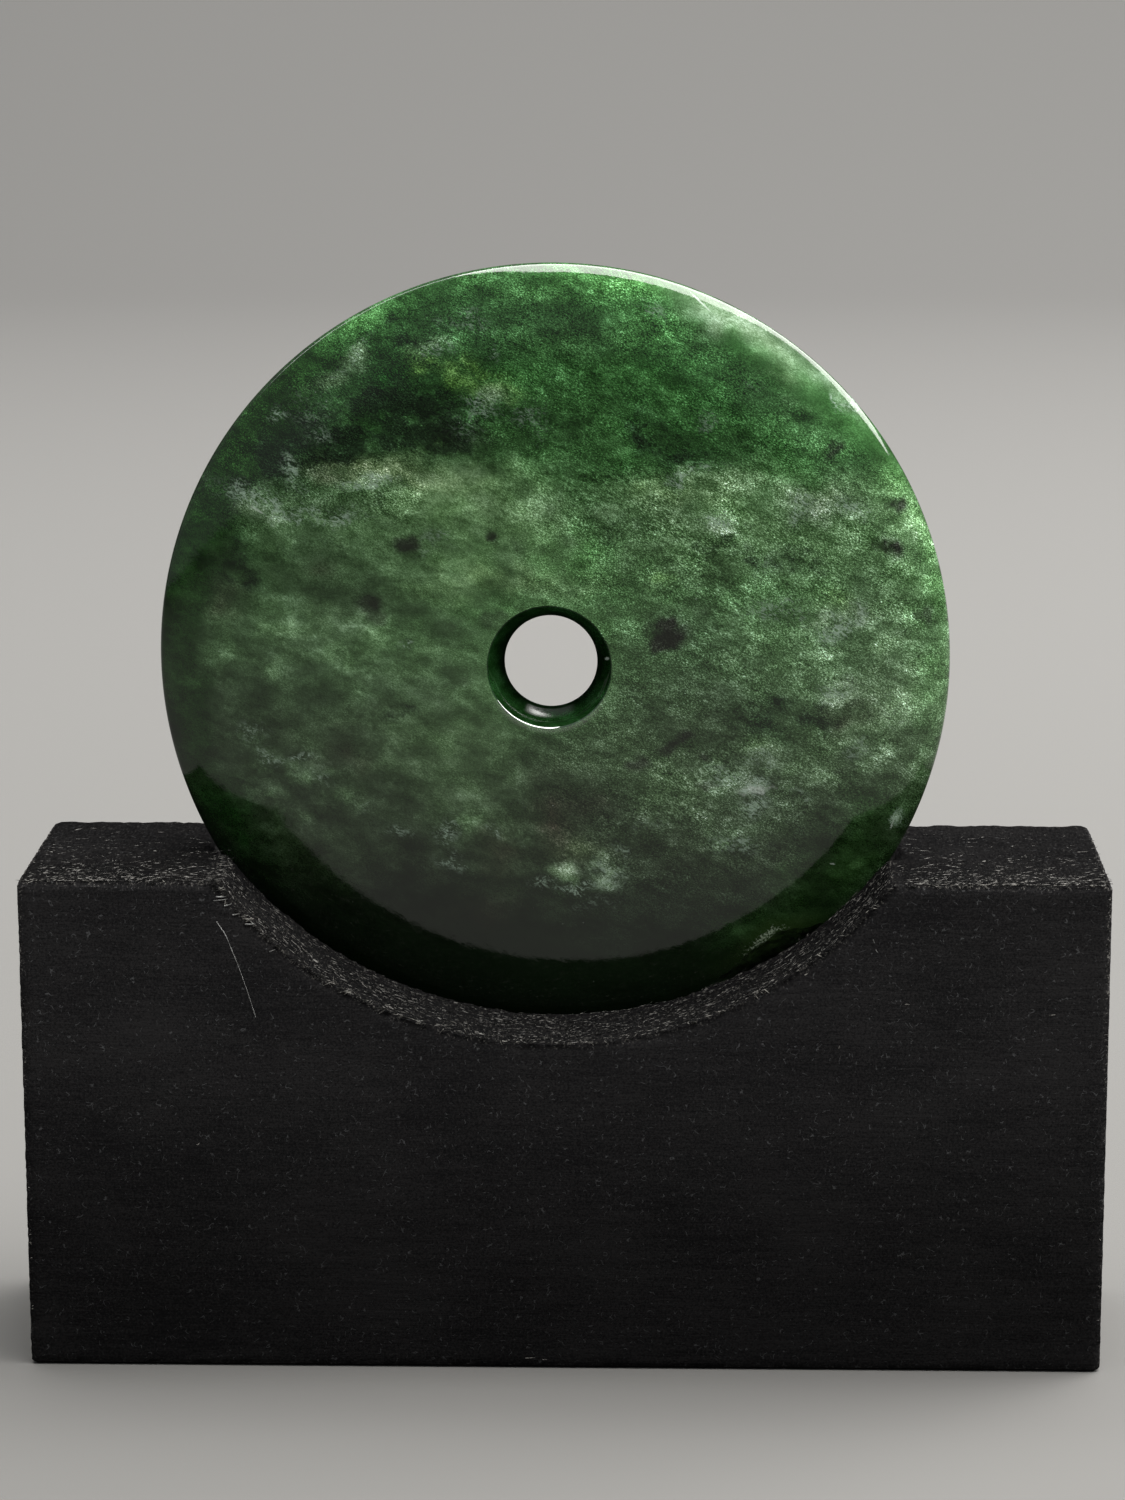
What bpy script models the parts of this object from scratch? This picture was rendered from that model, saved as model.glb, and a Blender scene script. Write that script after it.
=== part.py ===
# A pierced greenstone disc standing in the cradle of its own dark wooden stand.
# Metres, +Z up. The disc's face looks along -Y, and the origin is the middle of the
# stand's underside.

import math

import bmesh
import bpy
from mathutils import Matrix, Vector

# Disc
DISC_DIAMETER = 0.0600
DISC_THICKNESS = 0.0056        # between the two faces, beside the hole
FACE_FULLNESS = 5.0            # higher keeps the faces flat further out before they round to the rim
DISC_AROUND = 96               # sides round the disc, and round what is cut to fit it
DISC_ACROSS = 24               # steps of the section from one face, round the rim, to the other

# Hole, drilled from both faces so that it narrows to a waist
HOLE_MOUTH_DIAMETER = 0.00944
HOLE_WAIST_DIAMETER = 0.00704
HOLE_LIP = 0.00022             # rounding where the hole meets a face
HOLE_AROUND = 48               # sides round the hole
HOLE_SHIFT_X = -0.00020        # from the disc's middle
HOLE_SHIFT_UP = -0.00019

# Flat ground on the upper right of the front edge
FLAT_DIRECTION = math.radians(53.0)
FLAT_WIDTH = 0.0019
FLAT_TILT = math.radians(32.5)

# Chip broken from the lower right of the front edge
CHIP_DIRECTION = math.radians(-55.0)
CHIP_ALONG_RIM = 0.0092
CHIP_INTO_FACE = 0.0023        # from the rim towards the middle
CHIP_DEPTH = 0.0026            # from the face towards the back
CHIP_ROUGHNESS = 0.16          # unevenness of the broken surface, as a share of its own size

# Stand
STAND_WIDTH = 0.0815
STAND_DEPTH = 0.0198
STAND_HEIGHT = 0.0381
STAND_EDGE = 0.0003

# Cradle across the top of the stand, a round trough a little wider than the disc
CRADLE_OVERSIZE = 0.0018       # its radius over the disc's
CRADLE_DEPTH = 0.01243
CRADLE_SHIFT_X = -0.00079

# Slot in the cradle that holds the rim
SLOT_CLEARANCE = 0.0003        # all round the disc
SLOT_DEPTH = 0.0027            # from the cradle's floor down to the lowest point of the disc
SLOT_SHIFT_X = -0.00095
SLOT_SHIFT_Y = 0.0009
SLOT_TURN = math.radians(-1.2)

CUT_OVERRUN = 0.002            # how far a cutter runs past what it cuts

disc_radius = DISC_DIAMETER / 2
cradle_radius = disc_radius + CRADLE_OVERSIZE
cradle_floor = STAND_HEIGHT - CRADLE_DEPTH
disc_centre_height = cradle_floor - SLOT_DEPTH + disc_radius


def half_thickness(radius):
    """Half the disc's thickness at this distance from its middle."""
    share = min(radius / disc_radius, 1.0)
    return DISC_THICKNESS / 2 * math.sqrt(1.0 - share ** FACE_FULLNESS)


def clear_scene():
    for obj in list(bpy.data.objects):
        bpy.data.objects.remove(obj, do_unlink=True)


def new_collection(name):
    collection = bpy.data.collections.new(name)
    bpy.context.scene.collection.children.link(collection)
    return collection


def new_material(name, colour, roughness):
    material = bpy.data.materials.new(name)
    material.use_nodes = True
    shader = material.node_tree.nodes["Principled BSDF"]
    shader.inputs["Base Color"].default_value = (*colour, 1.0)
    shader.inputs["Roughness"].default_value = roughness
    shader.inputs["Metallic"].default_value = 0.0
    material.diffuse_color = (*colour, 1.0)
    return material


def object_from(bm, name, collection):
    mesh = bpy.data.meshes.new(name)
    bm.to_mesh(mesh)
    bm.free()
    obj = bpy.data.objects.new(name, mesh)
    collection.objects.link(obj)
    return obj


def turned(points, sides, name, collection):
    """A solid of revolution about its own Z, from (radius, height) points listed from top to bottom."""
    bm = bmesh.new()
    verts = [bm.verts.new((radius, 0.0, height)) for radius, height in points]
    for upper, lower in zip(verts, verts[1:]):
        bm.edges.new((upper, lower))
    obj = object_from(bm, name, collection)
    screw = obj.modifiers.new("turn", "SCREW")
    screw.axis = "Z"
    screw.steps = sides
    screw.render_steps = sides
    screw.use_merge_vertices = True
    screw.merge_threshold = 0.00001
    screw.use_smooth_shade = True
    return obj


def block(size, name, collection):
    bm = bmesh.new()
    bmesh.ops.create_cube(bm, size=1.0, matrix=Matrix.Diagonal((*size, 1.0)))
    return object_from(bm, name, collection)


def make_cutter(obj):
    obj.hide_render = True
    obj.display_type = "WIRE"
    return obj


def cut(obj, cutter):
    boolean = obj.modifiers.new("cut " + cutter.name, "BOOLEAN")
    boolean.operation = "DIFFERENCE"
    boolean.solver = "EXACT"
    boolean.object = cutter


def make_seat(collection):
    """The disc's own place: its X runs along the face, its Y up and its Z out of the front face."""
    seat = bpy.data.objects.new("disc_seat", None)
    seat.location = (SLOT_SHIFT_X, SLOT_SHIFT_Y, disc_centre_height)
    seat.rotation_euler = (math.pi / 2, 0.0, SLOT_TURN)
    collection.objects.link(seat)
    return seat


def make_hole_cutter(collection):
    """An hourglass: a waist half way through, a wider mouth at each face and a rounded lip."""
    face = half_thickness(HOLE_MOUTH_DIAMETER / 2)
    mouth = HOLE_MOUTH_DIAMETER / 2
    waist = HOLE_WAIST_DIAMETER / 2
    throat = mouth - HOLE_LIP
    beyond = face + CUT_OVERRUN
    side = [(0.0, beyond), (mouth, beyond)]
    for step in range(4):
        angle = math.radians(90.0 * step / 3)
        lip_radius = mouth - HOLE_LIP * math.sin(angle)
        side.append((lip_radius, face - HOLE_LIP * (1.0 - math.cos(angle)) + HOLE_LIP / 20))
    below_lip = face - HOLE_LIP
    for step in range(1, 4):
        share = 1.0 - step / 4
        side.append((waist + (throat - waist) * share ** 1.5, below_lip * share))
    profile = side + [(waist, 0.0)] + [(radius, -height) for radius, height in reversed(side)]
    return make_cutter(turned(profile, HOLE_AROUND, "hole_cutter", collection))


def make_flat_cutter(collection):
    """A block whose underside planes the front edge."""
    inner_radius = disc_radius - FLAT_WIDTH
    outward = Vector((math.cos(FLAT_DIRECTION), math.sin(FLAT_DIRECTION), 0.0))
    forward = Vector((0.0, 0.0, 1.0))
    start = outward * inner_radius + forward * half_thickness(inner_radius)
    normal = outward * math.sin(FLAT_TILT) + forward * math.cos(FLAT_TILT)
    height = disc_radius / 4
    cutter = block((disc_radius / 2, DISC_DIAMETER, height), "flat_cutter", collection)
    cutter.location = start + normal * height / 2
    cutter.rotation_euler = (0.0, FLAT_TILT, FLAT_DIRECTION)
    return make_cutter(cutter)


def make_chip_cutter(collection):
    """An uneven shell-shaped bite, broad along the rim and shallow into the face."""
    bm = bmesh.new()
    bmesh.ops.create_icosphere(bm, subdivisions=2, radius=1.0)
    for vert in bm.verts:
        x, y, z = vert.co
        unevenness = math.sin(5.1 * x + 2.3 * y) * math.cos(4.3 * z - 3.7 * y)
        vert.co *= 1.0 + CHIP_ROUGHNESS * unevenness
    for vert in bm.verts:
        vert.co.x *= CHIP_INTO_FACE
        vert.co.y *= CHIP_ALONG_RIM / 2
        vert.co.z *= CHIP_DEPTH
    cutter = object_from(bm, "chip_cutter", collection)
    outward = Vector((math.cos(CHIP_DIRECTION), math.sin(CHIP_DIRECTION), 0.0))
    cutter.location = outward * disc_radius + Vector((0.0, 0.0, DISC_THICKNESS / 2))
    cutter.rotation_euler = (0.0, 0.0, CHIP_DIRECTION)
    return make_cutter(cutter)


def make_disc(seat, collection, cutters):
    section = []
    for step in range(DISC_ACROSS + 1):
        angle = math.pi * step / DISC_ACROSS
        height = DISC_THICKNESS / 2 * math.cos(angle)
        radius = disc_radius * (math.sin(angle) ** 2) ** (1.0 / FACE_FULLNESS)
        section.append((radius, height))
    section[0] = (0.0, DISC_THICKNESS / 2)
    section[-1] = (0.0, -DISC_THICKNESS / 2)
    disc = turned(section, DISC_AROUND, "greenstone_disc", collection)
    disc.parent = seat
    hole = make_hole_cutter(cutters)
    hole.location = (HOLE_SHIFT_X, HOLE_SHIFT_UP, 0.0)
    for cutter in (hole, make_flat_cutter(cutters), make_chip_cutter(cutters)):
        cutter.parent = seat
        cut(disc, cutter)
    disc.data.materials.append(new_material("polished greenstone", (0.045, 0.130, 0.055), 0.16))
    return disc


def make_cradle_cutter(collection):
    bm = bmesh.new()
    bmesh.ops.create_cone(
        bm,
        cap_ends=True,
        segments=2 * DISC_AROUND,
        radius1=cradle_radius,
        radius2=cradle_radius,
        depth=STAND_DEPTH + 2 * CUT_OVERRUN,
    )
    cutter = object_from(bm, "cradle_cutter", collection)
    cutter.location = (CRADLE_SHIFT_X, 0.0, cradle_floor + cradle_radius)
    cutter.rotation_euler = (math.pi / 2, 0.0, 0.0)
    return make_cutter(cutter)


def make_slot_cutter(seat, collection):
    """A saw kerf that follows the rim, as wide as the disc is where it enters the wood."""
    entry_radius = disc_radius - SLOT_DEPTH
    slot_width = 2 * (half_thickness(entry_radius) + SLOT_CLEARANCE)
    bm = bmesh.new()
    bmesh.ops.create_cone(
        bm,
        cap_ends=True,
        segments=DISC_AROUND,
        radius1=disc_radius + SLOT_CLEARANCE,
        radius2=disc_radius + SLOT_CLEARANCE,
        depth=slot_width,
    )
    cutter = object_from(bm, "slot_cutter", collection)
    cutter.parent = seat
    return make_cutter(cutter)


def make_stand(seat, collection, cutters):
    stand = block((STAND_WIDTH, STAND_DEPTH, STAND_HEIGHT), "wooden_stand", collection)
    stand.location = (0.0, 0.0, STAND_HEIGHT / 2)
    bevel = stand.modifiers.new("worn edges", "BEVEL")
    bevel.width = STAND_EDGE
    bevel.segments = 2
    cut(stand, make_cradle_cutter(cutters))
    cut(stand, make_slot_cutter(seat, cutters))
    stand.data.materials.append(new_material("black stained wood", (0.014, 0.013, 0.013), 0.62))
    return stand


def main():
    clear_scene()
    parts = new_collection("greenstone disc on its stand")
    cutters = new_collection("cutters")
    seat = make_seat(parts)
    make_disc(seat, parts, cutters)
    make_stand(seat, parts, cutters)
    bpy.context.view_layer.update()


main()
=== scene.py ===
import math
import random

import bpy
import numpy as np
from mathutils import Matrix, Vector, noise


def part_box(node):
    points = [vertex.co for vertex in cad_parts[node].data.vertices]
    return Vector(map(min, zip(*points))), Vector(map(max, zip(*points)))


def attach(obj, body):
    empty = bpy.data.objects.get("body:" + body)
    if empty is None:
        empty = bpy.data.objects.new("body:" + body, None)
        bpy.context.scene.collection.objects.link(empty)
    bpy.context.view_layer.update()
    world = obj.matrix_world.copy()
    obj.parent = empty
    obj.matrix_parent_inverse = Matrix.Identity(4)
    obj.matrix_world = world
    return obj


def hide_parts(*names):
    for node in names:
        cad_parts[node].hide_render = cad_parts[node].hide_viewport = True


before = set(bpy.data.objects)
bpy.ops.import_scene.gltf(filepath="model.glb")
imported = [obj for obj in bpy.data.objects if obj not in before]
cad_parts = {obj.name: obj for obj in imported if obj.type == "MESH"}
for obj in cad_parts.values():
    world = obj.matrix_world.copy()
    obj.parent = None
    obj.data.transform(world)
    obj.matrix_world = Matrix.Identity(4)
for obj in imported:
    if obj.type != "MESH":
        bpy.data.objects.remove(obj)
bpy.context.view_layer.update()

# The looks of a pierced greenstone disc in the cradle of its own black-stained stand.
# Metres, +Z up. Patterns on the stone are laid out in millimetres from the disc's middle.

mm = 0.001


def only(obj):
    # selects this object alone and makes it the active one
    bpy.ops.object.select_all(action="DESELECT")
    obj.select_set(True)
    bpy.context.view_layer.objects.active = obj


def selectPoints(obj, wanted):
    # leaves the object in edit mode with the points that pass selected, and what lies between them
    only(obj)
    bpy.ops.object.mode_set(mode="EDIT")
    bpy.ops.mesh.select_mode(type="VERT")
    bpy.ops.mesh.select_all(action="DESELECT")
    bpy.ops.object.mode_set(mode="OBJECT")
    for vert in obj.data.vertices:
        vert.select = wanted(vert.co)
    bpy.ops.object.mode_set(mode="EDIT")


def smooth(low, high, value):
    # 0 up to low and 1 from high on, for a number or for an array of them
    share = np.clip((value - low) / (high - low), 0.0, 1.0)
    return share * share * (3.0 - 2.0 * share)


def drift(place):
    # a smooth shift of one place along X, Y and Z that is the same in every run, as noise_vector's isn't
    parts = ((9.3, 1.5, 8.0), (0.7, 31.4, 4.7), (17.1, 5.2, 43.9))
    return Vector([noise.noise(place + Vector(part)) for part in parts])


def pointing(angle):
    # the way that an angle in radians points in the X and Y plane
    return Vector((math.cos(angle), math.sin(angle), 0.0))


def mixed(share, first, second):
    # the first at a share of 0 and the second at 1, for numbers, colours and arrays of them
    return first * (1.0 - share) + np.array(second) * share


def writeLayer(obj, name, values):
    # three numbers for each point of a mesh, which its material reads by the layer's name
    layer = obj.data.attributes.new(name, "FLOAT_VECTOR", "POINT")
    layer.data.foreach_set("vector", values.astype(np.float32).ravel())


# Camera, light and floor

cameraSetup = {
    "lens": 100.35,
    "sensor": 36.0,  # the long side, in millimetres
    "nearest": 0.01,
    "place": (0.00866, -0.31072, 0.11367),
    "yaw": math.radians(-1.646),  # to the right
    "pitch": math.radians(-12.276),  # up
    "roll": math.radians(-0.127),
}

studio = {
    "worldColour": (0.80, 0.82, 0.84),
    "worldStrength": 0.36,
    "floorColour": (0.105, 0.103, 0.100),
    "floorRoughness": 0.9,
    "floorGloss": 0.1,
    "floorSize": 6.0,
    "sweepStart": 0.75,  # how far behind the object the floor starts to curve up
    "sweepRadius": 0.45,
    "sweepTop": 0.9,
    "sweepSteps": 24,
    "aim": (0.0, 0.0, 0.045),
    "lamps": [
        # name, place, aim, size, power, colour
        ("overheadSoftbox", (0.34, 0.10, 0.84), None, (0.95, 1.40), 50.0, (1.0, 0.99, 0.96)),
        ("backdropLamp", (0.0, 0.25, 0.80), (0.0, 1.10, 0.30), (1.80, 0.45), 17.0, (1.0, 1.0, 1.0)),
    ],
}


def makeCamera():
    bpy.ops.object.camera_add(location=cameraSetup["place"])
    camera = bpy.context.object
    camera.name = "camera"
    camera.data.lens = cameraSetup["lens"]
    camera.data.sensor_width = cameraSetup["sensor"]
    camera.data.clip_start = cameraSetup["nearest"]
    turn = Matrix.Rotation(-cameraSetup["yaw"], 3, "Z")
    tilt = Matrix.Rotation(math.pi / 2 + cameraSetup["pitch"], 3, "X")
    roll = Matrix.Rotation(cameraSetup["roll"], 3, "Z")
    camera.rotation_euler = (turn @ tilt @ roll).to_euler()
    bpy.context.scene.camera = camera


def makeLamp(name, place, aim, size, power, colour):
    bpy.ops.object.light_add(type="AREA", location=place)
    lamp = bpy.context.object
    lamp.name = name
    towards = Vector(aim or studio["aim"]) - Vector(place)
    lamp.rotation_euler = towards.to_track_quat("-Z", "Y").to_euler()
    lamp.data.shape = "RECTANGLE"
    lamp.data.size, lamp.data.size_y = size
    lamp.data.energy = power
    lamp.data.color = colour


def makeFloor():
    # a pale floor that curves up into its own backdrop
    size, start, radius = studio["floorSize"], studio["sweepStart"], studio["sweepRadius"]
    bpy.ops.mesh.primitive_plane_add(size=size, location=(0.0, start - size / 2, 0.0))
    floor = bpy.context.object
    floor.name = "floor"
    bpy.ops.object.transform_apply(location=True)
    selectPoints(floor, lambda place: place.y > start - 0.01)
    moves = []
    for step in range(studio["sweepSteps"]):
        low, high = (math.pi / 2 * (step + end) / studio["sweepSteps"] for end in (0, 1))
        away, rise = math.sin(high) - math.sin(low), math.cos(low) - math.cos(high)
        moves.append((0.0, radius * away, radius * rise))
    moves.append((0.0, 0.0, studio["sweepTop"] - radius))
    for move in moves:
        bpy.ops.mesh.extrude_region_move(TRANSFORM_OT_translate={"value": move})
    bpy.ops.object.mode_set(mode="OBJECT")
    bpy.ops.object.shade_smooth()
    material, _, shader = newMaterial("pale floor", studio["floorRoughness"], studio["floorGloss"])
    shader.inputs["Base Color"].default_value = (*studio["floorColour"], 1.0)
    floor.data.materials.append(material)


def makeStudio():
    world = bpy.data.worlds.new("studio")
    world.use_nodes = True
    background = world.node_tree.nodes["Background"]
    background.inputs["Color"].default_value = (*studio["worldColour"], 1.0)
    background.inputs["Strength"].default_value = studio["worldStrength"]
    bpy.context.scene.world = world
    bpy.context.scene.view_settings.view_transform = "Standard"
    for lamp in studio["lamps"]:
        makeLamp(*lamp)
    makeFloor()


# Node helpers

def put(tree, kind, settings=None, **inputs):
    # a node with its settings and inputs, where an input is a plain value or the socket it comes from
    node = tree.nodes.new("ShaderNode" + kind)
    for name, value in (settings or {}).items():
        setattr(node, name, value)
    for name, value in inputs.items():
        key = int(name[1:]) if name[0] == "i" and name[1:].isdigit() else name.replace("_", " ")
        if isinstance(value, bpy.types.NodeSocket):
            tree.links.new(value, node.inputs[key])
        else:
            node.inputs[key].default_value = value
    return node


def compute(tree, operation, first, second=0.0, third=0.0, clamp=False):
    settings = {"operation": operation, "use_clamp": clamp}
    return put(tree, "Math", settings, i0=first, i1=second, i2=third).outputs[0]


def onVector(tree, operation, first, **inputs):
    return put(tree, "VectorMath", {"operation": operation}, i0=first, **inputs).outputs[0]


def ramp(tree, value, low, high, toLow=0.0, toHigh=1.0):
    settings = {"interpolation_type": "SMOOTHSTEP"}
    inputs = {"Value": value, "From_Min": low, "From_Max": high, "To_Min": toLow, "To_Max": toHigh}
    return put(tree, "MapRange", settings, **inputs).outputs["Result"]


def swing(tree, value, amount, base=0.0, clamp=False):
    # the base, moved up and down as the value leaves its middle of 0.5
    return compute(tree, "MULTIPLY_ADD", compute(tree, "SUBTRACT", value, 0.5), amount, base, clamp)


def blendColour(tree, share, *colours):
    inputs = {"i0": share}
    for key, colour in zip(("i6", "i7"), colours):
        inputs[key] = colour if isinstance(colour, bpy.types.NodeSocket) else (*colour, 1.0)
    return put(tree, "Mix", {"data_type": "RGBA", "clamp_factor": True}, **inputs).outputs[2]


def ownPlace(tree, place, middle=(0.0, 0.0, 0.0), turns=(0.0, 0.0, 0.0), size=(1.0, 1.0, 1.0)):
    # a place as measured from a middle, along turned axes and in units of this size
    inputs = {"Vector": place, "Location": middle, "Rotation": turns, "Scale": size}
    return put(tree, "Mapping", {"vector_type": "TEXTURE"}, **inputs).outputs[0]


def inMillimetres(tree):
    return ownPlace(tree, put(tree, "TexCoord").outputs["Object"], size=(mm, mm, mm))


def grain(tree, place, scale, detail=3.0, roughness=0.55, stretch=(1.0, 1.0, 1.0), turn=0.0):
    # noise of about this many features a unit, drawn out along axes turned by this many degrees
    drawn = ownPlace(tree, place, turns=(0.0, 0.0, math.radians(turn)), size=stretch)
    return put(tree, "TexNoise", Vector=drawn, Scale=scale, Detail=detail, Roughness=roughness).outputs[0]


def readLayer(tree, name):
    return put(tree, "Attribute", {"attribute_name": name}).outputs["Vector"]


def splitLayer(tree, name):
    # the three numbers of a layer, one by one
    return put(tree, "SeparateXYZ", Vector=readLayer(tree, name)).outputs


def newMaterial(name, roughness=0.5, gloss=0.5):
    material = bpy.data.materials.new(name)
    material.use_nodes = True
    shader = material.node_tree.nodes["Principled BSDF"]
    shader.inputs["Roughness"].default_value = roughness
    shader.inputs["Specular IOR Level"].default_value = gloss
    return material, material.node_tree, shader


def addBump(tree, shader, height, strength, depth):
    bump = put(tree, "Bump", Strength=strength, Distance=depth, Height=height)
    tree.links.new(bump.outputs["Normal"], shader.inputs["Normal"])


def newGroup(name, inputs, outputs):
    # an input is the number it starts from, or None where it is a place
    tree = bpy.data.node_groups.new(name, "ShaderNodeTree")
    for label, value in inputs.items():
        kind = "NodeSocketVector" if value is None else "NodeSocketFloat"
        socket = tree.interface.new_socket(name=label, in_out="INPUT", socket_type=kind)
        if value is not None:
            socket.default_value = value
    for label, kind in outputs.items():
        tree.interface.new_socket(name=label, in_out="OUTPUT", socket_type="NodeSocket" + kind)
    return tree, tree.nodes.new("NodeGroupInput").outputs, tree.nodes.new("NodeGroupOutput").inputs


def useGroup(tree, group, **inputs):
    return put(tree, "Group", {"node_tree": group}, **inputs).outputs


def makeDustGroup():
    # small round specks, in a share of the cells of a Voronoi pattern
    inputs = {"Place": None, "Cells": 1.0, "Share": 0.1, "Size": 0.1}
    tree, given, result = newGroup("dustSpecks", inputs, {"Specks": "Float"})
    cells = put(tree, "TexVoronoi", Vector=given["Place"], Scale=given["Cells"])
    chance = put(tree, "SeparateColor", Color=cells.outputs["Color"])
    chosen = compute(tree, "LESS_THAN", chance.outputs[0], given["Share"])
    size = compute(tree, "MULTIPLY", given["Size"], ramp(tree, chance.outputs[1], 0.0, 1.0, 0.35, 1.0))
    near = compute(tree, "SUBTRACT", size, cells.outputs["Distance"])
    soft = ramp(tree, near, 0.0, 0.05)
    tree.links.new(compute(tree, "MULTIPLY", chosen, soft), result["Specks"])
    return tree


def makeWarpGroup():
    # a place shifted unevenly, so that round spots get natural outlines
    inputs = {"Place": None, "Scale": 0.2, "Amount": 1.0, "Detail": 3.0}
    tree, given, result = newGroup("unevenPlace", inputs, {"Place": "Vector"})
    cloudy = put(tree, "TexNoise", Vector=given["Place"], Scale=given["Scale"], Detail=given["Detail"])
    around = onVector(tree, "SUBTRACT", cloudy.outputs["Color"], i1=(0.5, 0.5, 0.5))
    scaled = onVector(tree, "SCALE", around, Scale=given["Amount"])
    tree.links.new(onVector(tree, "ADD", given["Place"], i1=scaled), result["Place"])
    return tree


# Disc

discLow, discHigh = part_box("greenstone_disc")

disc = {
    "turn": math.radians(-1.2),  # of the face towards the left
    "thickness": 0.0056,
    "fullness": 5.0,  # how flat the faces stay before they round to the rim
    "holeMouth": 0.00475,  # radii
    "holeWaist": 0.00352,
    "holeLip": (0.00036, 0.00050),  # the bevel round the mouth, across and deep
    "holeShift": (-0.00020, -0.00019),
    "steps": 384,  # round the disc
    "throatSteps": 9,  # along its section: from the waist to the lip, round the lip,
    "lipSteps": 7,
    "faceStep": 0.0004,  # over the face in rings of this width
    "flatEnd": 0.9,  # as far as this share of the radius, and round the rim
    "rimSteps": 24,
    "flatDirection": math.radians(53.0),  # the ground flat on the upper right of the front edge
    "flatWidth": 0.0019,
    "flatTilt": math.radians(32.5),
    "flatBlend": 0.00020,  # how far its edges are rounded over
    "hollowDirection": math.radians(215.0),  # the lower left of the face is polished a little lower
    "hollowDepth": 0.00022,
    "wave": 0.000012,  # unevenness of the polish
    "chipCorner": (17.1, -20.65),  # the chip's inner corner on the face, in millimetres
    "chipSides": (220.0, 7.0),  # the directions in which its two straight sides run
    "chipLengths": (8.6, 9.0),
    "chipSlopes": (0.85, 1.05),  # how steeply it falls away from each side
    "chipCuts": 31,
    "chipMargin": 0.06,  # how far outside the face its cutter starts
    "chipTop": 4.5,  # how high the cutter reaches
}

discRadius = (discHigh.z - discLow.z) / 2
discCentre = (discLow + discHigh) / 2
discAcross = pointing(disc["turn"])
discOut = Vector((math.sin(disc["turn"]), -math.cos(disc["turn"]), 0.0))
discTurn = Matrix((discAcross, (0.0, 0.0, 1.0), discOut)).transposed()
discPlace = Matrix.Translation(discCentre) @ discTurn.to_4x4()
toDisc = discPlace.inverted()


def halfThickness(radius):
    share = min(radius / discRadius, 1.0)
    return disc["thickness"] / 2 * math.sqrt(1.0 - share ** disc["fullness"])


def discSection():
    # half of the ring's section as (radius, height), from the hole's waist over the front to the rim
    mouth, waist = disc["holeMouth"], disc["holeWaist"]
    across, deep = disc["holeLip"]
    throat = mouth - across
    face = halfThickness(mouth)
    points = []
    for step in range(disc["throatSteps"]):
        share = step / disc["throatSteps"]
        points.append((waist + (throat - waist) * share ** 1.5, (face - deep) * share))
    for step in range(disc["lipSteps"] + 1):
        share = step / disc["lipSteps"]
        points.append((throat + across * share, face - deep * (1.0 - share) ** 1.5))
    flatEnd = disc["flatEnd"] * discRadius
    rings = round((flatEnd - mouth) / disc["faceStep"])
    for step in range(1, rings):
        radius = mouth + (flatEnd - mouth) * step / rings
        points.append((radius, halfThickness(radius)))
    start = math.asin(disc["flatEnd"] ** (disc["fullness"] / 2))
    for step in range(disc["rimSteps"] + 1):
        angle = start + (math.pi / 2 - start) * step / disc["rimSteps"]
        radius = discRadius * math.sin(angle) ** (2 / disc["fullness"])
        points.append((radius, disc["thickness"] / 2 * math.cos(angle)))
    return points


def shapeDiscPoint(point):
    # the place of one point of the plain disc after grinding and polishing, in the disc's own frame
    x, y, z = point
    radius = math.hypot(x, y)
    direction = math.atan2(y, x)
    nearHole = 1.0 - smooth(disc["holeMouth"], 3.0 * disc["holeMouth"], radius)
    x += disc["holeShift"][0] * nearHole
    y += disc["holeShift"][1] * nearHole
    face = smooth(0.0, 0.001, abs(z)) * smooth(disc["holeMouth"], disc["holeMouth"] + 0.001, radius)
    side = 1.0 if z > 0.0 else -1.0
    wave = noise.noise(Vector((x, y, 2.0 * side)) / 0.011) - 1.0
    z += side * face * disc["wave"] * wave
    if z > 0.0:
        towards = math.cos(direction - disc["hollowDirection"])
        hollow = smooth(0.1, 1.0, towards) * smooth(0.55, 1.0, radius / discRadius)
        z -= disc["hollowDepth"] * hollow * face
    inner = discRadius - disc["flatWidth"]
    outward = pointing(disc["flatDirection"])
    planeNormal = outward * math.sin(disc["flatTilt"]) + Vector((0.0, 0.0, math.cos(disc["flatTilt"])))
    planePoint = outward * inner + Vector((0.0, 0.0, halfThickness(inner)))
    above = (Vector((x, y, z)) - planePoint).dot(planeNormal)
    blend = disc["flatBlend"]
    cut = 0.5 * (above + math.sqrt(above * above + blend * blend)) if above > -8 * blend else 0.0
    return Vector((x, y, z)) - planeNormal * cut


def chipDepth(x, y):
    # millimetres below the old surface at a place on the face, under 0 outside the chip
    sides = [math.radians(angle) for angle in disc["chipSides"]]
    east, north = x - disc["chipCorner"][0], y - disc["chipCorner"][1]
    fromLeft = -east * math.sin(sides[0]) + north * math.cos(sides[0])
    fromTop = east * math.sin(sides[1]) - north * math.cos(sides[1])
    width = math.sin(sides[0] - sides[1])
    fromEnd = disc["chipLengths"][0] * abs(width) - fromTop
    fromSides = np.minimum(fromLeft * disc["chipSlopes"][0], fromTop * disc["chipSlopes"][1])
    return np.minimum(fromSides, fromEnd)


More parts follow.
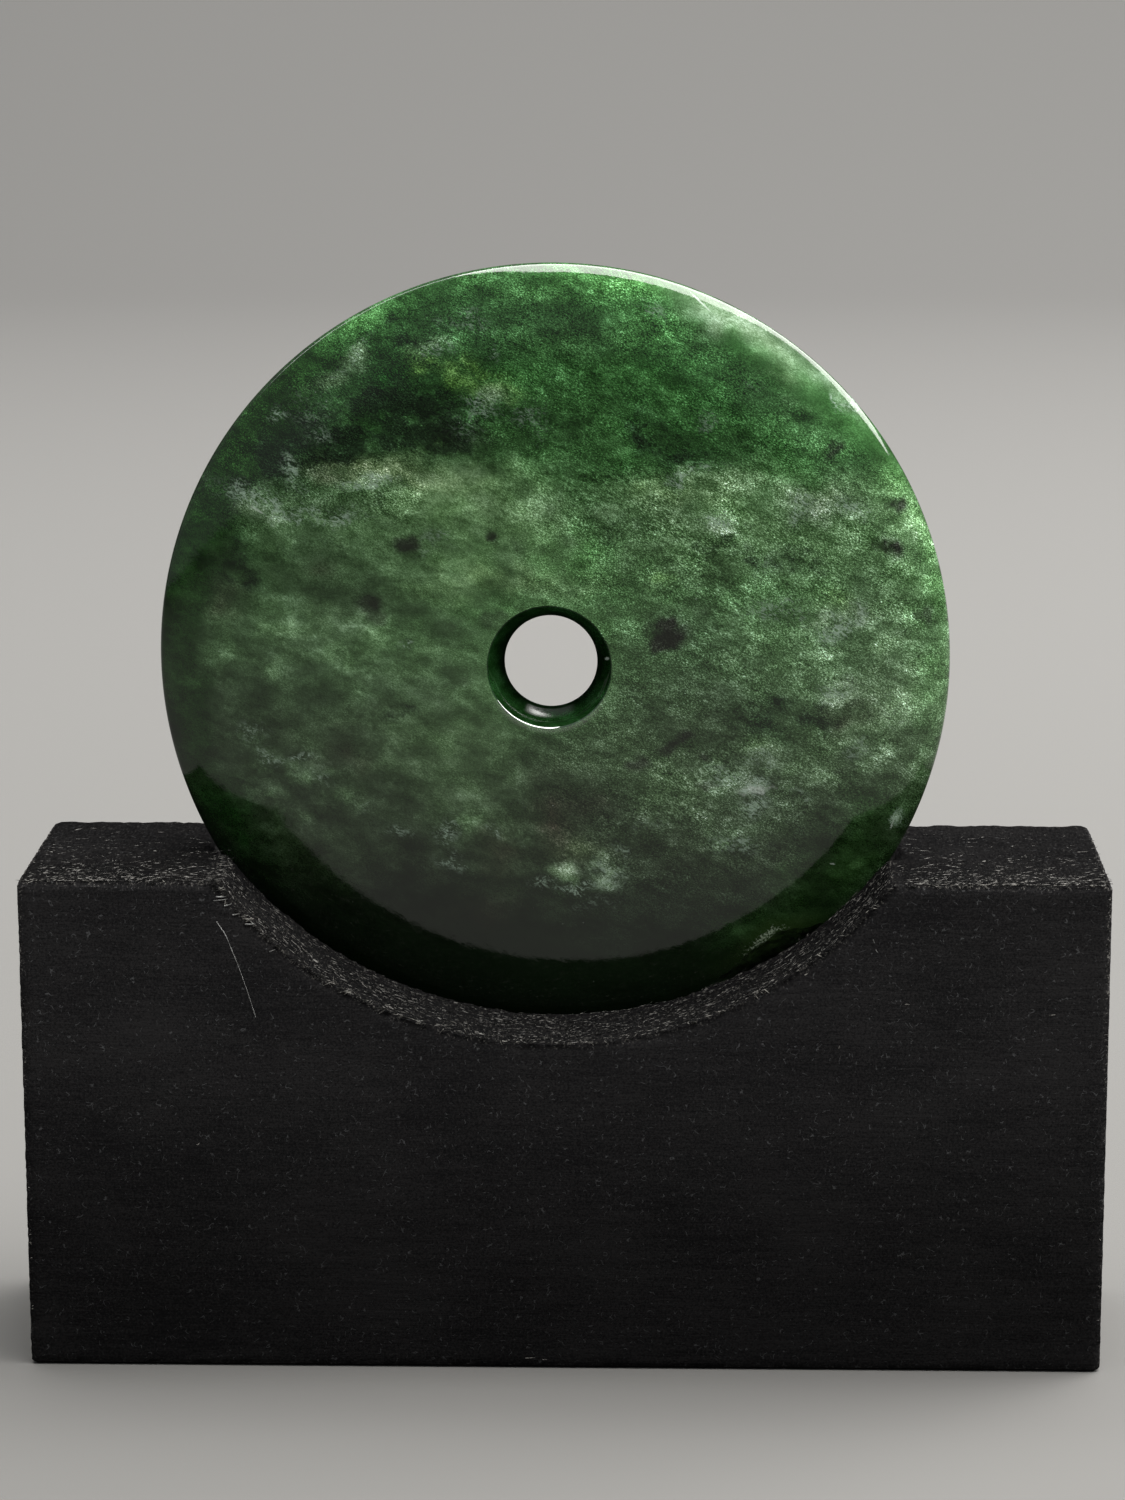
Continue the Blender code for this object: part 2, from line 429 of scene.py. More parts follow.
def makeChipCutter():
    # a block whose underside is the broken surface, two rough planes that meet in a corner
    bpy.ops.mesh.primitive_cube_add(size=1.0)
    cutter = bpy.context.object
    bpy.ops.object.mode_set(mode="EDIT")
    bpy.ops.mesh.subdivide(number_cuts=disc["chipCuts"])
    bpy.ops.object.mode_set(mode="OBJECT")
    corner = Vector((*disc["chipCorner"], 0.0))
    ways = [pointing(math.radians(turn)) for turn in disc["chipSides"]]
    first, second = (way * length for way, length in zip(ways, disc["chipLengths"]))
    for vert in cutter.data.vertices:
        along, level, height = vert.co + Vector((0.5, 0.5, 0.5))
        place = corner + first * along + second * level
        ragged = drift(place / 1.3) * 0.14 + drift(place / 0.5) * 0.10
        depth = chipDepth(place.x, place.y)
        lump = noise.fractal(place / 1.6 + Vector((3.1, 0.4, 7.7)), 0.9, 2.0, 5)
        step = abs(noise.noise(place / 2.3 + Vector((9.0, 2.0, 0.0))))
        depth *= 1.0 + 0.30 * lump
        depth += 0.30 * step * smooth(0.1, 0.6, depth)
        surface = halfThickness(place.length * mm) / mm
        place += Vector((ragged.x, ragged.y, 0.0))
        broken = surface + disc["chipMargin"] - depth
        place.z = broken + (disc["chipTop"] - surface) * height if height < 1.0 else disc["chipTop"]
        vert.co = discPlace @ (place * mm)
    return cutter


def makeDisc():
    front = discSection()
    back = [(radius, -height) for radius, height in reversed(front[1:-1])]
    outline = front + back
    bpy.ops.object.select_all(action="DESELECT")
    bpy.ops.mesh.primitive_circle_add(vertices=len(outline), radius=mm)
    stoneDisc = bpy.context.object
    stoneDisc.name = "polishedDisc"
    for vert, (radius, height) in zip(stoneDisc.data.vertices, outline):
        vert.co = discCentre + discAcross * radius + discOut * height
    bpy.ops.object.mode_set(mode="EDIT")
    bpy.ops.mesh.select_all(action="SELECT")
    bpy.ops.mesh.spin(steps=disc["steps"], angle=2 * math.pi, center=discCentre, axis=discOut)
    bpy.ops.mesh.select_all(action="SELECT")
    bpy.ops.mesh.remove_doubles(threshold=0.000002)
    bpy.ops.mesh.normals_make_consistent(inside=False)
    bpy.ops.object.mode_set(mode="OBJECT")
    for vert in stoneDisc.data.vertices:
        vert.co = discPlace @ shapeDiscPoint(toDisc @ vert.co)
    stoneDisc.data.materials.append(makeStone("polished greenstone", False))
    cutter = makeChipCutter()
    cutter.data.materials.append(makeStone("broken greenstone", True))
    only(stoneDisc)
    stoneDisc.modifiers.new("chip", "BOOLEAN")
    stoneDisc.modifiers["chip"].object = cutter
    stoneDisc.modifiers["chip"].solver = "EXACT"
    stoneDisc.modifiers["chip"].material_mode = "TRANSFER"
    bpy.ops.object.modifier_apply(modifier="chip")
    bpy.data.objects.remove(cutter)
    paintStone(stoneDisc)
    bpy.ops.object.shade_smooth_by_angle(angle=math.radians(28.0))
    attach(stoneDisc, "root")
    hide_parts("greenstone_disc")


# Stone

stone = {
    "roughness": 0.045,
    "brokenRoughness": 0.45,
    "ior": 1.50,
    "coatIor": 2.2,  # of the glossy lip of the hole
    "coatRoughness": 0.04,
    "depth": 7.0,  # how far a cloud reaches into the stone, in millimetres
    "rimStart": 25.7,  # where the painted shade round the left edge starts
    "ragged": ("sage", "yellowGreen", "paleSage"),
    "even": ("paintedFlatSheen", "smoothSage", "clearGreen"),
    "calmPlace": (21.5, -16.4, 6.5, 2.6, 1.0, 44),  # at the lower right, laid out as the clouds are
    "thin": 0.25,  # a mark of less than this half height has a sharp outline
    "mottling": 0.42,  # strength of the small unevenness of tone, and of the broad one
    "shading": 0.60,
    "haloStrength": 0.45,
    "haloReach": 1.3,
    "rimStrength": 0.85,
    "crushReach": 2.2,  # how far along the chip's edge its grains look crushed and lit through
    "glowStrength": 0.8,
    "glowReach": 4.5,
    "sideShade": 0.62,  # how much painted shade darkens the rim's sides
    "dullness": 0.55,  # of the upper face's polish
    "bump": (0.35, 0.00002),  # strength and height
    "brokenBump": (0.9, 0.0002),
    "dark": (0.0040, 0.0130, 0.0034),
    "waist": (0.0020, 0.0060, 0.0020),  # painted shade on the hole's wall, where it is narrowest, and near the faces
    "throat": (0.0060, 0.0270, 0.0055),
    "fleck": (0.300, 0.410, 0.320),
    "crushedAndLit": (0.340, 0.420, 0.300),
    "glow": (0.023, 0.046, 0.010),  # the stone round the chip, lit through its broken edge
    "halo": (0.080, 0.190, 0.062),  # a painted glow round the hole's mouth, of light through the stone
    "shadedRim": (0.007, 0.030, 0.004),
    "speck": (0.45, 0.52, 0.46),
    "marks": [
        # small light marks: x, y, z, half length, half height, strength, turn
        (10.9, 27.3, 1.5, 1.3, 0.08, 0.8, -42), (4.15, 0.45, 2.3, 0.22, 0.12, 0.9, 35),
        (25.8, -12.4, 2.3, 0.75, 0.16, 0.8, 72), (21.3, -15.4, 2.7, 0.28, 0.08, 0.6, -10),
        (15.5, -9.5, 2.8, 1.1, 0.34, 0.85, 6), (-22.2, 11.6, 2.8, 0.8, 0.1, 0.6, -28),
    ],
    "spots": [
        # crisp dark inclusions, in the same order
        (20.8, 16.7, 2.3, 0.75, 0.28, 0.85, 42), (25.3, 12.2, 1.2, 0.55, 0.42, 0.95, 60),
        (24.5, 9.2, 1.7, 0.9, 0.46, 0.98, -18), (27.4, 3.9, 1.4, 0.3, 0.5, 0.7, 0),
        (8.4, 2.3, 2.8, 1.35, 0.75, 0.8, -4), (-10.8, 9, 2.8, 0.8, 0.45, 0.75, -14),
        (-4.4, 9.8, 2.8, 0.5, 0.32, 0.8, 0), (9.3, -5.8, 2.8, 1.3, 0.34, 0.7, 34),
        (-13.6, 4.7, 2.8, 0.8, 0.45, 0.6, -20),
    ],
}

# The ground colour at heights above the disc's middle, with painted shade that darkens it towards the
# bottom.
groundTones = [
    (-30.0, (0.0046, 0.0105, 0.0038)), (-23.0, (0.0050, 0.0118, 0.0042)), (-18.0, (0.0072, 0.0155, 0.0056)),
    (-14.0, (0.0180, 0.0350, 0.0135)), (-10.0, (0.0330, 0.0640, 0.0255)), (-5.0, (0.0490, 0.0960, 0.0380)),
    (0.0, (0.0540, 0.1150, 0.0430)), (6.0, (0.0530, 0.1180, 0.0420)), (11.0, (0.0750, 0.1600, 0.0580)),
    (16.0, (0.0250, 0.0800, 0.0195)), (22.0, (0.0180, 0.0720, 0.0140)), (30.0, (0.0235, 0.0840, 0.0190)),
]

paints = {
    "sage": (0.120, 0.220, 0.100),
    "paleSage": (0.200, 0.305, 0.175),
    "beige": (0.160, 0.245, 0.112),
    "yellowGreen": (0.068, 0.170, 0.030),
    "brightGreen": (0.056, 0.168, 0.044),
    # a painted sheen for the ground flat
    "paintedFlatSheen": (0.195, 0.300, 0.180),
    "smoothSage": (0.125, 0.240, 0.098),
    "clearGreen": (0.019, 0.052, 0.013),
    "clearDark": (0.004, 0.027, 0.003),
    "brown": (0.020, 0.018, 0.010),
    "inclusion": (0.008, 0.009, 0.006),
}

# Clouds laid on the ground in this order: the paint, then the place (x, y) in millimetres from the disc's
# middle, half length, half height, strength and, unless it lies level, turn in degrees of each.
clouds = [
    ("brightGreen", [
        (2.5, 10, 3, 5.5, 0.6), (-4, 11.5, 5, 2.2, 0.35, -10), (-14, 25.8, 2.5, 0.6, 0.25, 30),
        # the cloud at 14.5, 24.6 on the ground flat is a painted sheen
        (28.4, 3, 1.6, 7.5, 0.3, 4), (2.5, 24, 3.6, 1.4, 0.35), (14.5, 24.6, 4.5, 1.4, 0.7, -38),
        (3, 28.3, 6, 0.9, 0.3), (0.5, 4.5, 7.5, 2.4, 0.25), (12, 2.5, 3, 2.5, 0.3),
        (16.8, -20.3, 2.4, 0.7, 0.35, 20),
    ]),
    # painted sheen on the ground flat at the upper right, in place of its highlight
    ("paintedFlatSheen", [
        (14.6, 25.3, 3.8, 1.1, 1, -35), (11.8, 26.6, 2.2, 0.8, 0.6, -30), (20.6, 21, 2.6, 0.4, 0.5, -44),
        (16.4, 23, 2.4, 0.9, 0.35, -36),
    ]),
    ("clearDark", [
        (-12.4, 21.8, 3.4, 1.9, 0.9, 6), (-25.6, 12, 2.2, 5.6, 0.85, -24),
        (-22.8, 17.4, 2.4, 3.2, 0.9, -38), (-24.4, 8, 2, 2.4, 0.6), (23.8, -12.6, 2.8, 2.2, 0.45, 40),
        (-25, -12, 2.6, 3.6, 0.6, 24), (22, -16.5, 3.4, 1.6, 0.3, 46), (8.4, 17.8, 3.8, 1.6, 0.62, -24),
        (13.4, 16.4, 3, 1, 0.35, -10), (24.6, 15.8, 1.6, 1, 0.4, -40), (11, 20.5, 5, 1, 0.35, -32),
        (4.6, 15.6, 3, 1.4, 0.45, -10), (4.2, 11.4, 1.6, 1.4, 0.3), (4.6, 6.6, 2, 2.6, 0.32),
        (17.4, 5.8, 3.2, 2.6, 0.3), (-20, 16.2, 4.4, 1.4, 0.55, -10), (18.2, -4.2, 4, 1.7, 0.6),
    ]),
    ("clearGreen", [
        (21.8, -16.4, 4.6, 2, 0.85, 44), (25, -11.6, 2, 2.8, 0.55, 20), (15, -20.6, 3, 1.2, 0.6, 30),
    ]),
    ("dark", [
        (-11, 19.4, 3.6, 1.7, 1, -6), (-9, 17.3, 2.8, 1.4, 1, -10), (-20.9, 15.4, 1.6, 2.2, 0.95, 20),
        (-14.6, 16.9, 3.2, 0.9, 0.9, 4), (-17.8, 18.2, 1.8, 1, 0.6), (7.2, 18.2, 2.6, 1.2, 0.45, -30),
        (10.6, 16.6, 4.4, 1, 0.4, -8), (-17.6, 8.6, 4.4, 0.9, 0.32, 6), (-24.6, 8.4, 1.6, 2.2, 0.4),
        (-11, 25, 3.2, 1.1, 0.4, 16), (-13.4, 12.2, 1.6, 0.9, 0.35, -20),
        (5.6, 10.4, 1.8, 1.6, 0.45, 20), (-20.4, 5.4, 3, 0.8, 0.25, -10), (18.8, -3.7, 4.4, 1.1, 0.5, 3),
        (12.8, 8.8, 3.4, 1, 0.4, -8), (18.8, 8.4, 2.8, 1.1, 0.5), (5, 22, 2.4, 0.7, 0.3, -36),
        (1.6, 25.8, 2.4, 0.8, 0.3, -20), (-23.6, 6, 1.8, 1.8, 0.25), (20, -12.8, 2.2, 1.4, 0.4),
        (9.6, -12.6, 1.6, 1, 0.3), (-9.5, -7.8, 3, 1, 0.2), (18, 0.6, 2.2, 1.2, 0.25),
        (-12, -12.5, 5, 1.6, 0.2, -10), (9, -2.6, 3, 1, 0.25, 20), (-12, -4, 2.4, 1.2, 0.35),
    ]),
    ("sage", [
        (-18.5, 3, 5.5, 2.6, 0.4), (-12, 0, 5.5, 1.8, 0.35), (-21.5, -0.8, 3.5, 1.6, 0.25),
        (-15.9, 22.1, 1.8, 1.1, 0.95, 42), (-19.5, 11.3, 5, 1.2, 0.6, -12),
        (-19.5, -8.6, 3.2, 1.6, 0.5, -10), (-20.5, -11.6, 3.2, 1.2, 0.35, -30),
        (-24, 12.4, 1.6, 1, 0.6, -20), (-19.4, 14.5, 1, 1.2, 0.5), (-9.2, 24.1, 1.4, 0.6, 0.45, 10),
        (-16.5, 12.6, 2, 0.8, 0.5), (10.6, 13.6, 4.6, 1.5, 0.65, -4), (20, 12.3, 4.2, 1.5, 0.95, -8),
        (12.4, 10.5, 2.2, 0.7, 0.6, -6), (16, 4.8, 2.6, 2, 0.15), (21.8, 4.4, 2.4, 1.4, 0.5),
        (24.6, 0.4, 3.8, 2.6, 0.6), (26, -4.4, 2.2, 3.2, 0.5, 20), (23, -7.4, 3, 1.4, 0.65, 10),
        (22, -1.8, 1.4, 0.9, 0.7), (15.6, -8.6, 2.6, 2.6, 0.75), (12.4, -8.4, 1.6, 1, 0.5),
        (13.4, -5.6, 2.6, 0.9, 0.4), (13.6, -13.2, 2.2, 1.1, 0.45), (3.8, -15.8, 2, 1.3, 0.4),
        (0.6, -15.8, 1.4, 0.7, 0.6), (-6.6, -12.6, 2, 2, 0.35, 20), (-19, -7.6, 2, 0.9, 0.45, -20),
        (-23.2, -5.8, 2.2, 1.1, 0.4, -15), (-14, -10.6, 2.4, 0.7, 0.3), (-2.2, -13.4, 1.2, 0.6, 0.45),
        (5.4, 8.3, 1.5, 0.5, 0.2, 30), (14, 0.8, 3.2, 1.6, 0.4), (4.6, -6.6, 3, 1.2, 0.25),
        (-2, -7, 3, 1.4, 0.2), (17.5, 20.8, 4, 1.2, 0.5, -42), (-16, 4.2, 2.4, 1.4, 0.45),
        (8.4, 12, 1.8, 1.2, 0.5),
    ]),
    ("smoothSage", [
        (-8.6, 12.4, 3.8, 1.8, 0.75, -16), (-3, 11.6, 4.4, 2, 0.8, -4), (-6.5, 6.4, 4, 1.6, 0.3),
        (26.4, 5, 1.6, 3, 0.2), (22.8, -5.6, 3, 1.8, 0.3, 10),
    ]),
    ("beige", [
        (-13.6, 15, 3, 0.7, 0.55, -4), (-10.8, 14.5, 1.8, 0.6, 0.7, -14),
        (-7.6, 13.4, 2.6, 0.9, 0.35, -16), (10, 13.2, 2.6, 1, 0.25), (20, 12.8, 2, 0.8, 0.25),
        (-2.6, 6.4, 5, 0.9, 0.3), (2, -14.4, 1.4, 0.6, 0.35),
    ]),
    ("yellowGreen", [
        (-7.2, 22.3, 2.8, 1.2, 0.75, -8), (-3.8, 20.9, 1.8, 1, 0.55, -20),
        (8.1, 6.4, 1.3, 0.9, 0.45, -10), (21.8, 5, 1.8, 1, 0.45), (8.6, 13.6, 2.2, 0.9, 0.4),
        (16.5, -6.6, 1.8, 1.2, 0.25),
    ]),
    ("paleSage", [
        (-9.4, 14.3, 1.4, 0.6, 0.55, -20), (-22.6, 11.7, 1.6, 0.5, 0.6, -22),
        (-13.4, 13.9, 1, 0.6, 0.55), (-4.3, 20.3, 0.8, 0.6, 0.6), (18.6, 12.4, 1.8, 0.8, 0.5, -20),
        (12.2, 10.5, 1.3, 0.4, 0.6, -8), (21.8, -1.6, 0.8, 0.9, 0.7, 20), (15.5, -9.4, 1.1, 0.8, 0.85),
        (16, -7, 1, 0.5, 0.5), (20.8, 3.6, 1.6, 0.5, 0.5, 10), (1.2, -15.9, 1.1, 0.45, 0.8, 5),
        (4, -16.2, 1, 0.9, 0.5, -20), (22.9, 4, 0.6, 0.9, 0.55), (-18.4, -7.6, 0.7, 0.35, 0.6),
        (25.9, -12.4, 0.4, 1, 0.7, -15), (27, 9.6, 0.5, 0.8, 0.5, 20), (24.8, -2.2, 1.4, 1.4, 0.35),
    ]),
    ("brown", [
        (0.6, -11.4, 1.3, 2.2, 0.6), (3, -11.2, 1.2, 0.7, 0.45), (22.4, -3.9, 1.5, 1, 0.6),
        (-3.6, -14.6, 1.1, 1.2, 0.4), (-5.5, -19.1, 2, 1.1, 0.3, 5), (-15.4, -6.9, 1.2, 0.8, 0.5, -10),
        (-24.4, 4.6, 1.4, 1.2, 0.35), (-7.8, 17, 1.8, 0.9, 0.45), (-17.4, 7.2, 1, 0.6, 0.35),
        (-15.6, 15, 1.6, 0.7, 0.35),
    ]),
    ("inclusion", [
        (8.4, 2.4, 1.35, 0.95, 0.95, -6), (-10.8, 9, 0.85, 0.6, 0.85, -10), (-4.4, 9.8, 0.5, 0.4, 0.85),
        (-13.7, 4.6, 0.9, 0.6, 0.75, -10), (-13.1, 3.5, 0.6, 0.4, 0.55), (-7.8, 2.7, 0.7, 0.4, 0.5),
        (-4.2, 3.4, 0.8, 0.6, 0.65), (-26.9, 7.5, 0.7, 0.5, 0.75, 50),
        (21.2, 16.4, 0.75, 0.35, 0.85, 42), (26, 12, 0.5, 0.5, 0.9), (25.4, 9.1, 0.9, 0.5, 0.95, -20),
        (28.2, 3.8, 0.35, 0.5, 0.7), (9.3, -5.8, 1.4, 0.5, 0.85, 30), (6.5, -7.6, 0.8, 0.6, 0.75, 20),
        (11.5, -6.9, 0.5, 0.3, 0.7, -20), (11.8, -9.2, 0.6, 0.25, 0.6), (-2.6, 9, 0.8, 0.6, 0.4, -50),
        (5.8, -1.8, 0.8, 0.5, 0.3), (-6.6, -1.4, 0.5, 0.3, 0.35), (26.4, 2.6, 0.6, 0.4, 0.35, -20),
        (15.6, -10, 0.5, 0.3, 0.45), (22.2, -7.9, 0.9, 0.15, 0.5, 10), (0.7, 7.2, 0.25, 0.2, 0.5),
        (-26.3, 5.6, 0.9, 0.8, 0.3),
    ]),
]

# Where white fibres gather, in the same order.
fleckBands = [
    (-22, 11.8, 3.4, 0.8, 1, -22), (-17, 11.2, 3.4, 0.7, 0.75, -4), (-13.4, 13.9, 1.5, 0.6, 1, -8),
    (-19.4, 14.6, 0.9, 1.4, 0.8, 20), (-18.3, 13.1, 1.6, 0.6, 0.6), (-18.5, 10, 1.6, 0.5, 0.7),
    (-15.2, 23, 2, 0.5, 0.7, 42), (-9, 24.1, 1.3, 0.5, 0.8, 15), (-6.5, 25.6, 2.4, 0.8, 0.5),
    (-5.5, 20, 1.6, 0.8, 0.7, -30), (-6.6, 18.2, 1.4, 1.4, 0.4, -50), (-2, 19, 1.4, 1.4, 0.5),
    (22.4, 19.4, 0.8, 0.5, 0.9, -45), (-21, 18.4, 0.8, 0.4, 0.7, 20), (-17.5, 19, 2.4, 1.4, 0.4),
    (-16.8, 17.8, 1.2, 0.8, 0.6), (-11.2, 1, 0.8, 0.35, 0.9, 20), (-4, 23.6, 0.8, 0.4, 0.6),
    (-8.3, 9, 1.8, 0.7, 0.5), (11, 14.9, 1.9, 0.5, 0.9, 4), (12.8, 10.6, 1.6, 0.55, 1, -8),
    (18.6, 12.6, 1.8, 0.9, 0.9, -30), (18, 11.4, 0.8, 0.45, 0.9, -40), (22.6, 11.6, 1.8, 0.9, 0.7, -30),
    (21.4, 3.2, 1.8, 0.8, 0.95, 10), (22.9, 4.2, 0.7, 1.2, 0.9), (16.6, 4.2, 2, 1, 0.6),
    (16.5, 7.5, 1.8, 1.2, 0.4), (7.2, 26.4, 1.2, 0.8, 0.5), (11.4, 18.8, 1.6, 0.6, 0.5, -20),
    (14.8, 20.2, 1, 0.9, 0.35), (21.4, -1.3, 1, 0.8, 0.9, 30), (23.4, -6.8, 1.6, 0.6, 0.6, 20),
    (25, -3.5, 1.6, 1.6, 0.4), (15.5, -9.4, 1.2, 0.55, 1.35, 6), (16.2, -7, 1.5, 0.7, 0.8, -10),
    (15.6, -10.8, 0.9, 0.9, 0.85, 10), (18.8, -9.8, 0.9, 0.3, 0.6, -10), (13, -8.2, 1.8, 0.6, 0.7),
    (14, -13.9, 2, 0.8, 0.7), (8.2, -12, 1, 0.5, 0.6), (1.4, -16.8, 1.5, 0.45, 1.15, 10),
    (4.3, -16.2, 1.3, 1, 0.85, -20), (3, -18.4, 2.2, 0.6, 0.4), (-0.7, -16.4, 0.7, 0.4, 1, 30),
    (-3.2, -13, 1, 0.35, 0.8, -20), (-7.6, -12.3, 1.2, 1, 0.75), (-8.4, -14.7, 0.9, 0.5, 0.8),
    (-7.2, -15.5, 1, 0.3, 0.7), (-11.7, -12.8, 1.1, 0.3, 0.8, -20), (-18.4, -7.7, 0.7, 0.35, 1.25),
    (-20.6, -6.9, 1.2, 0.5, 0.8, -20), (-22.6, -5.4, 1.4, 0.7, 0.6, -20), (-17.4, -9, 0.5, 0.4, 0.7),
    (-13.8, -10.6, 1.2, 0.4, 0.5), (5.6, -14, 0.9, 0.5, 0.6), (25.7, -12.4, 0.35, 0.9, 1.1, -18),
    (-2, -10.3, 0.8, 0.35, 0.5),
]


def shareIn(places, x, y, halfLength, halfHeight, strength, turn=0.0):
    # how far each place lies in one soft ellipse that reaches some way into the stone
    angle = math.radians(turn)
    east, north = places[:, 0] - x, places[:, 1] - y
    deep = places[:, 2] - disc["thickness"] / 2 / mm
    along = (east * math.cos(angle) + north * math.sin(angle)) / halfLength
    across = (north * math.cos(angle) - east * math.sin(angle)) / halfHeight
    return strength * np.exp(-0.7 * (along ** 2 + across ** 2 + (deep / stone["depth"]) ** 2))


def paintStone(obj):
    # the clouds' colours and the places of flecks as values on the mesh's own points
    plain, near, shifted, mottle, broad = [], [], [], [], []
    for vert in obj.data.vertices:
        place = (toDisc @ vert.co) / mm
        aside = 1.2 * drift(place / 5.2) + 0.9 * drift(place / 2.0)
        plain.append(place)
        near.append(place + 0.35 * drift(place / 0.9))
        shifted.append(place + aside + 0.5 * drift(place / 0.9))
        mottle.append(noise.fractal(Vector((place.x, 1.5 * place.y, place.z)) / 2.4, 0.8, 2.0, 4))
        broad.append(noise.fractal(Vector((place.x, 1.4 * place.y, place.z)) / 8.0, 1.0, 2.0, 2))
    plain, near, shifted, mottle, broad = map(np.array, (plain, near, shifted, mottle, broad))

    # the ground's tones by height, with painted shade towards the bottom and painted light towards the
    # right, and the clouds over it in their order
    heights = [height for height, tone in groundTones]
    tones = np.array([tone for height, tone in groundTones])
    ground = np.stack([np.interp(shifted[:, 1], heights, tones[:, part]) for part in range(3)], axis=1)
    # painted light: lighter towards the right, darker towards the left
    ground *= np.interp(shifted[:, 0], (-30.0, 0.0, 30.0), (0.65, 1.0, 1.35))[:, None]
    cloud = ground.copy()
    clear = np.ones((len(plain), 1))
    light = np.ones((len(plain), 1))
    for paint, spots in clouds:
        unevenness = 0.3 if paint in stone["even"] else 0.9
        for spot in spots:
            places = near if min(spot[2], spot[3]) < 0.7 else shifted
            share = np.clip(shareIn(places, *spot) * (1.0 + unevenness * mottle), 0.0, 1.0)[:, None]
            if paint == "dark":
                light = light * (1.0 - share)
                continue
            if paint == "inclusion":
                share = spot[4] * smooth(0.15, 0.70, share / spot[4])
            cloud = mixed(share, cloud, paints[paint])
            if paint in stone["ragged"]:
                clear = clear * (1.0 - share)
            else:
                ground = mixed(share, ground, paints[paint])

    # less contrast at the foot and on the ground flat
    onFlat = plain[:, 0] * math.cos(disc["flatDirection"]) + plain[:, 1] * math.sin(disc["flatDirection"])
    onFlat = smooth(26.2, 27.6, onFlat) * (plain[:, 2] > 0.0)
    calm = (0.2 + 0.8 * smooth(-23.0, -14.0, plain[:, 1])) * (1.0 - 0.6 * onFlat)
    contrast = np.exp(calm * (stone["mottling"] * mottle + stone["shading"] * broad))[:, None]

    # the painted glow round the hole, the painted shade on its wall, its matt bevel with one glint and its
    # glossy lip
    fromHole = np.hypot(plain[:, 0] - disc["holeShift"][0] / mm, plain[:, 1] - disc["holeShift"][1] / mm)
    # painted glow of light through the stone round the hole's mouth
    halo = np.exp(-np.clip(fromHole - disc["holeMouth"] / mm, 0.0, None) / stone["haloReach"])
    halo = stone["haloStrength"] * halo[:, None]
    wall = (fromHole < disc["holeMouth"] / mm - 0.05)[:, None]
    towardsFace = smooth(0.2, 2.6, np.abs(plain[:, 2]))[:, None]
    # painted shade on the wall, deepest at the waist
    paintedWallShade = mixed(towardsFace, np.array(stone["waist"]), stone["throat"])
    rise = (plain[:, 1] - disc["holeShift"][1] / mm) / np.clip(fromHole, 1.0, None)
    lipWidth = disc["holeLip"][0] / mm * smooth(0.1, -0.4, rise)
    matt = smooth(-0.02, -0.14, fromHole - disc["holeMouth"] / mm + lipWidth)
    glint = smooth(-0.86, -0.97, rise) * smooth(4.10, 3.95, fromHole) * smooth(3.62, 3.72, fromHole)
    matt *= 1.0 - 0.8 * glint
    lip = smooth(-0.35, -0.75, rise) * smooth(4.20, 4.34, fromHole) * smooth(4.95, 4.80, fromHole)
    lip *= plain[:, 2] > 0.0

    # the darker band round the left edge, painted shade on the side away from the light
    angle = np.degrees(np.arctan2(shifted[:, 1], shifted[:, 0])) % 360.0
    edge = smooth(stone["rimStart"], stone["rimStart"] + 1.6, np.hypot(shifted[:, 0], shifted[:, 1]))
    rim = (stone["rimStrength"] * edge * smooth(112.0, 135.0, angle) * smooth(212.0, 190.0, angle))[:, None]
    tints = []
    for tint in (ground, cloud):
        tint = mixed(halo, tint * contrast, stone["halo"])
        tint = np.where(wall, paintedWallShade, tint)
        tints.append(mixed(rim, tint, stone["shadedRim"]))

    # where white fibres gather, and how felted the stone looks
    flecks = np.zeros(len(plain))
    for spot in fleckBands:
        flecks = np.maximum(flecks, shareIn(shifted, *spot))
    rightward = smooth(-6.0, 5.0, shifted[:, 0] + 0.1 * shifted[:, 1])
    upperLeft = smooth(8.5, 13.0, shifted[:, 1]) * smooth(-8.0, -12.0, shifted[:, 0])
    felt = 0.42 + 0.58 * np.maximum(np.maximum(smooth(13.0, 18.0, shifted[:, 1]), upperLeft), rightward)
    felt *= (1.0 + 0.4 * mottle) * (0.14 + 0.86 * smooth(-25.0, -15.0, plain[:, 1]))
    felt *= 1.0 - 0.65 * onFlat
    felt *= 1.0 - 0.65 * shareIn(shifted, *stone["calmPlace"])

    # the chip, with crushed grains along its edge, partly painted light through the thin edge, and painted
    # light in the stone round it
    depth = chipDepth(plain[:, 0], plain[:, 1])
    east, north = plain[:, 0] - disc["chipCorner"][0], plain[:, 1] - disc["chipCorner"][1]
    fromCorner = np.hypot(east, north)
    brightest = np.hypot(east + 0.9, north + 0.6)
    crushedAndLit = np.exp(-((depth + 0.10) / 0.34) ** 2) * np.exp(-(brightest / stone["crushReach"]) ** 2)
    crushedAndLit *= plain[:, 2] > 0.0
    glow = stone["glowStrength"] * smooth(-1.6, 0.0, depth)
    glow *= np.exp(-(fromCorner / stone["glowReach"]) ** 2) * (plain[:, 2] > 0.0)
    tints = [mixed(glow[:, None], tint, stone["glow"]) for tint in tints]
    felt *= 1.0 - 0.7 * glow

